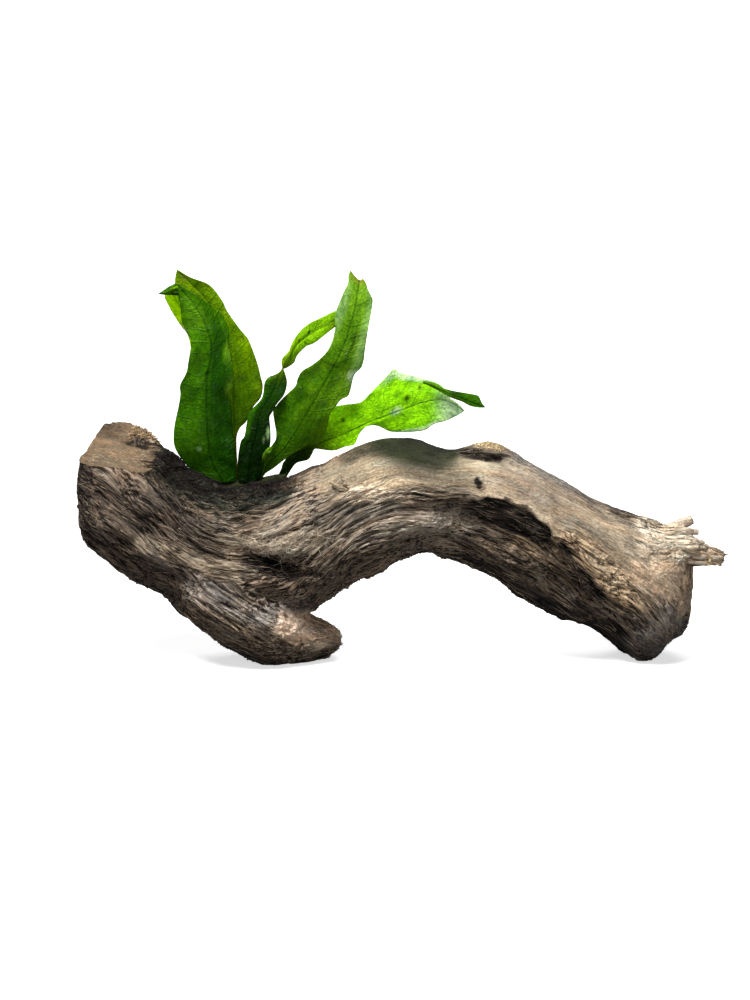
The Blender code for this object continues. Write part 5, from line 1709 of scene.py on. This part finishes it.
def loose_strands() -> tuple[Strands, ...]:
    """All the loose fibres, hairs and splinters of the wood."""
    trunk, wood = "driftwood_trunk", "driftwood"
    return (
        Strands("saddle_hairs", trunk, wood,
                ((-110, 2, 95), (-103, 0, 89), (-92, -2, 84), (-78, -4, 83), (-60, -6, 86)),
                (6, 20, 5), 1500, Lay.TANGLED, (2, 6), (0.14, 0.36), (0.0, 1.0), "dark_root", wander=0.45),
        Strands("saddle_edge_hairs", trunk, wood, ((-76, -15, 83), (-62, -16, 85), (-52, -14, 87)),
                (8, 8, 3.5), 200, Lay.TANGLED, (1.5, 4), (0.08, 0.2), (0.0, 0.5), "rim_fibre", wander=0.4),
        Strands("head_tuft", trunk, wood, ((-125, 12, 106), (-120, 11, 104), (-116, 8, 101)),
                (2.6, 3.5, 2.8), 300, Lay.TANGLED, (1.0, 2.6), (0.3, 0.7), (0.0, 2.4), "tuft_fibre",
                wander=0.5, knots=5, sides=4),
        Strands("shoulder_fuzz", trunk, wood, ((-66, -27, 61), (-50, -27, 62), (-38, -26, 64)), (7, 8, 4), 320,
                Lay.ALONG, (2, 6), (0.08, 0.2), (0.0, 0.9), "stub_wood", stray=0.6),
        Strands("knot_fibres", trunk, wood, ((36, -4, 103.5), (45, -5, 102)), (3.2, 3.6, 2.2), 190, Lay.TANGLED,
                (1.0, 2.2), (0.22, 0.45), (-0.3, 0.7), "straw_fibre", wander=0.5, sides=4),
        Strands("face_fibres", trunk, wood, ((-138, -12, 99), (-126, -8, 99), (-118, -6, 98)),
                (9, 10, 3), 110, Lay.ALONG, (1.5, 4.5), (0.06, 0.14), (0.0, 0.15), "pale_fibre",
                stray=0.45, wander=0.45),
        Strands("hump_splinters", trunk, wood, ((-20, -24, 84), (-2, -25, 84)), (8, 6, 4), 110, Lay.ALONG,
                (3, 8), (0.12, 0.3), (0.0, 0.6), "stub_wood", stray=0.2, wander=0.15),
        Strands("trunk_lint", trunk, wood,
                ((-146, -10, 70), (-90, -14, 55), (-40, -14, 56), (10, -16, 68), (60, -14, 56), (120, -12, 30)),
                (22, 34, 25), 2600, Lay.ALONG, (3, 11), (0.08, 0.18), (0.0, 0.25), "brown_fibre",
                stray=0.1, wander=0.06),
        Strands("prong_lint", "driftwood_prong", wood, ((-90, -20, 26), (-60, -14, 14), (-34, -6, 10)),
                (12, 16, 10), 600, Lay.ALONG, (3, 10), (0.08, 0.18), (0.0, 0.25), "brown_fibre",
                stray=0.1, wander=0.06),
        Strands("stub_splinters", "driftwood_stub", "broken_wood", ((134, -4, 53), (144, -2, 50)),
                (5, 9, 4), 70, Lay.ALONG, (3, 6), (0.35, 0.9), (-0.6, 0.2), "pale_fibre",
                stray=0.06, wander=0.05, sides=5, hug=False, heading=(1.0, 0.0, -0.3)),
    )


@dataclass(frozen=True)
class Sticks:
    """Single splinters and twigs with blunt ends, each with its own path and radius."""

    name: str
    node: str
    slot: str
    finish: str
    routes: tuple
    knots: int = 40
    sides: int = 14

    def build(self, materials: dict[str, bpy.types.Material]) -> bpy.types.Object:
        """Build and dress them.

        Args:
            materials: Materials by name.

        Returns:
            The sticks, as one object.
        """
        paths = np.array([even_rows(np.array(path, float), self.knots, 3) for path, _ in self.routes])
        share = np.linspace(0, 1, self.knots)
        radii = np.array([radius * (1.1 - 0.3 * share**2) for _, radius in self.routes])
        item = tube_object(self.name, paths, radii, self.sides)
        points, normals = fetch(item.data)
        noise = Noise(len(self.name))
        points += normals * (0.3 * noise.at(points, (4, 1.2, 1.2)) + 0.12 * noise.at(points, (1.5, 0.6, 0.6)))[:, None]
        points[:, 0] += 0.5 * noise.at(points, 1.3)
        move_points(item, points)
        store(item, "shade", 0.5 + 0.5 * noise.at(points, (6, 1.0, 1.0)))
        store(item, "strand", points)
        return dress(item, materials[self.finish], self.slot, self.node)


def single_sticks() -> tuple[Sticks, ...]:
    """The peg and blunt splinters of the stub, and the twig on the hump."""
    stub = "driftwood_stub"
    return (
        Sticks("stub_pegs", stub, "broken_wood", "stub_wood", (
            (((125, 2, 61.0), (130.5, 1, 64.0), (136.0, 0, 66.6)), 2.6),
            (((127, -5, 62.8), (133, -5, 62.4), (138.6, -5, 61.6)), 1.6),
            (((128, -7, 60.0), (135, -7, 58.7), (140.8, -6, 57.4)), 1.1),
            (((129, -8, 57.6), (134, -8, 57.0), (138.4, -7, 56.0)), 1.1),
            (((131, -6, 55.4), (140, -6, 53.4), (147.0, -4, 50.9)), 1.4),
            (((132, -8, 52.0), (141, -8, 50.6), (149.0, -5, 49.2)), 1.5),
            (((132, -7, 49.0), (140, -8, 48.2), (148.2, -5, 47.6)), 1.3),
        )),
        Sticks("stub_strip", stub, "broken_wood", "straw_fibre", (
            (((144.2, -9.2, 51.5), (143.4, -9.8, 49.5), (142.4, -9.2, 46.6)), 0.4),
        )),
        Sticks("hump_twig", "driftwood_trunk", "driftwood", "pale_fibre", (
            (((-27.8, -21.5, 93.2), (-26.6, -24.0, 91.2), (-25.3, -25.2, 88.8), (-23.8, -24.0, 86.4)), 0.4),
            (((-32.2, -23.0, 89.4), (-29.8, -25.0, 88.2), (-27.5, -25.4, 87.3), (-24.6, -24.4, 86.2)), 0.6),
        )),
    )


@dataclass
class Studio:
    """The pale floor and backdrop, the soft lights and the camera.

    target, distance and the lamps (name, place, size, power) are in metres and watts.
    """

    target: Point = (-0.012, 0.0, 0.076)
    distance: float = 0.905
    elevation: float = 12.0
    lens: float = 70.0
    floor_glow: tuple[float, float] = (0.65, 1.05)
    surround: tuple[float, float] = (0.018, 1.0)
    lamps: tuple = (
        ("key", (-0.3, -0.35, 1.0), 0.45, 17.0),
        ("fill", (0.4, -1.2, 0.4), 0.9, 2.5),
        ("back", (0.2, 0.7, 0.9), 0.6, 6.0),
    )

    def backdrop(self) -> None:
        """A pale floor that sweeps up behind the object."""
        width, front, depth, height, bend = 3000.0, -2500.0, 1500.0, 1600.0, 700.0
        turns = np.linspace(0, math.pi / 2, 16)
        sweep = ((depth - bend + bend * math.sin(t), bend - bend * math.cos(t)) for t in turns)
        profile = [(front, 0.0), *sweep, (depth, height)]
        points = np.array([(x, y, z) for y, z in profile for x in (-width, width)])
        faces = [[2 * k, 2 * k + 1, 2 * k + 3, 2 * k + 2] for k in range(len(profile) - 1)]
        floor = add_object("floor", points, faces)
        material, shader, skin = new_material("floor_paper")
        place = shader.node("NewGeometry").outputs["Position"]
        tone = shader.noise(place, (3.0, 3.0, 3.0), 2.0)
        paper = shader.mix(shader.spread(tone, 0.3, 0.7), (0.9, 0.9, 0.9), (0.93, 0.93, 0.93))
        seen = shader.node("LightPath").outputs["Is Camera Ray"]
        reach = shader.node("VectorMath", {"operation": "LENGTH"}, i0=place).outputs["Value"]
        glow = shader.math("MULTIPLY", seen, shader.spread(reach, 0.4, 1.1, *self.floor_glow))
        shader.feed(skin, Base_Color=shader.mix(seen, (0.3, 0.3, 0.3), paper), Emission_Strength=glow)
        skin.inputs["Emission Color"].default_value = (1.0, 1.0, 1.0, 1.0)
        skin.inputs["Roughness"].default_value = 0.95
        floor.data.materials.append(material)

    def lights(self) -> None:
        """A large soft key light above, a fill in front and a pale surround."""
        for name, place, size, power in self.lamps:
            data = bpy.data.lights.new(name, "AREA")
            data.shape, data.size, data.energy = "DISK", size, power
            light = bpy.data.objects.new(name, data)
            light.location = place
            aim = Vector(self.target) - light.location
            light.rotation_euler = aim.to_track_quat("-Z", "Y").to_euler()
            bpy.context.scene.collection.objects.link(light)
        world = bpy.data.worlds.new("surround")
        world.use_nodes = True
        shader, background = Shader(world.node_tree), world.node_tree.nodes["Background"]
        seen = shader.node("LightPath").outputs["Is Camera Ray"]
        background.inputs["Color"].default_value = (1.0, 1.0, 1.0, 1.0)
        shader.feed(background, Strength=shader.spread(seen, 0.0, 1.0, *self.surround))
        bpy.context.scene.world = world

    def camera(self) -> None:
        """The camera at the viewing angle."""
        data = bpy.data.cameras.new("camera")
        data.lens, data.sensor_width, data.sensor_fit = self.lens, 36.0, "AUTO"
        camera = bpy.data.objects.new("camera", data)
        tilt = math.radians(self.elevation)
        away = Vector((0.0, -math.cos(tilt), math.sin(tilt)))
        camera.location = Vector(self.target) + away * self.distance
        camera.rotation_euler = (-away).to_track_quat("-Z", "Y").to_euler()
        data.clip_start, data.clip_end = 0.01, 20.0
        bpy.context.scene.collection.objects.link(camera)
        bpy.context.scene.camera = camera

    def build(self) -> None:
        """Set up the studio."""
        self.camera()
        self.backdrop()
        self.lights()
        bpy.context.scene.view_settings.view_transform = "Standard"


LEAF_FINISHES = (
    LeafFinish("wet_leaf", (0.45, 0.55, 0.45), 0.32, 0.36, 0.08, 0.05, 0.28),
    LeafFinish("backlit_leaf", (0.5, 0.6, 0.4), 0.6, 0.36, 0.08, 0.05, 0.2),
)
PLAIN_FINISHES = (
    PlainFinish("fern_stem", BARK_GREEN, COAL),
    PlainFinish("dark_root", paint(46, 39, 34), paint(10, 9, 9)),
    PlainFinish("brown_fibre", paint(196, 174, 146), paint(70, 60, 52)),
    PlainFinish("pale_fibre", paint(216, 190, 158), paint(96, 74, 58)),
    PlainFinish("rim_fibre", paint(118, 100, 80), paint(34, 29, 25)),
    PlainFinish("tuft_fibre", paint(196, 166, 128), paint(56, 44, 34)),
    PlainFinish("stub_wood", paint(250, 232, 206), paint(120, 100, 82)),
    PlainFinish("straw_fibre", paint(250, 228, 176), paint(140, 110, 70)),
)


def main() -> None:
    """Build the studio, the wood and the fern in order."""
    logging.basicConfig(level=logging.INFO, format="%(message)s")
    Studio().build()
    fibre, speckle, veins = fibre_group(), speckle_group(), vein_group()
    wood = WoodFinish("weathered_wood", (0.1, 0.095, 0.095), 1.3, 0.85, 0.7).material(fibre, speckle)
    materials = {finish.name: finish.material(speckle, veins) for finish in LEAF_FINISHES}
    materials |= {finish.name: finish.material(fibre) for finish in PLAIN_FINISHES}
    surface = Surface(Driftwood().build(wood))
    Fern().build(surface, materials)
    for seed, strands in enumerate(loose_strands(), start=STRAND_SEED):
        strands.build(surface, materials, seed)
    for sticks in single_sticks():
        sticks.build(materials)


if __name__ == "__main__":
    main()
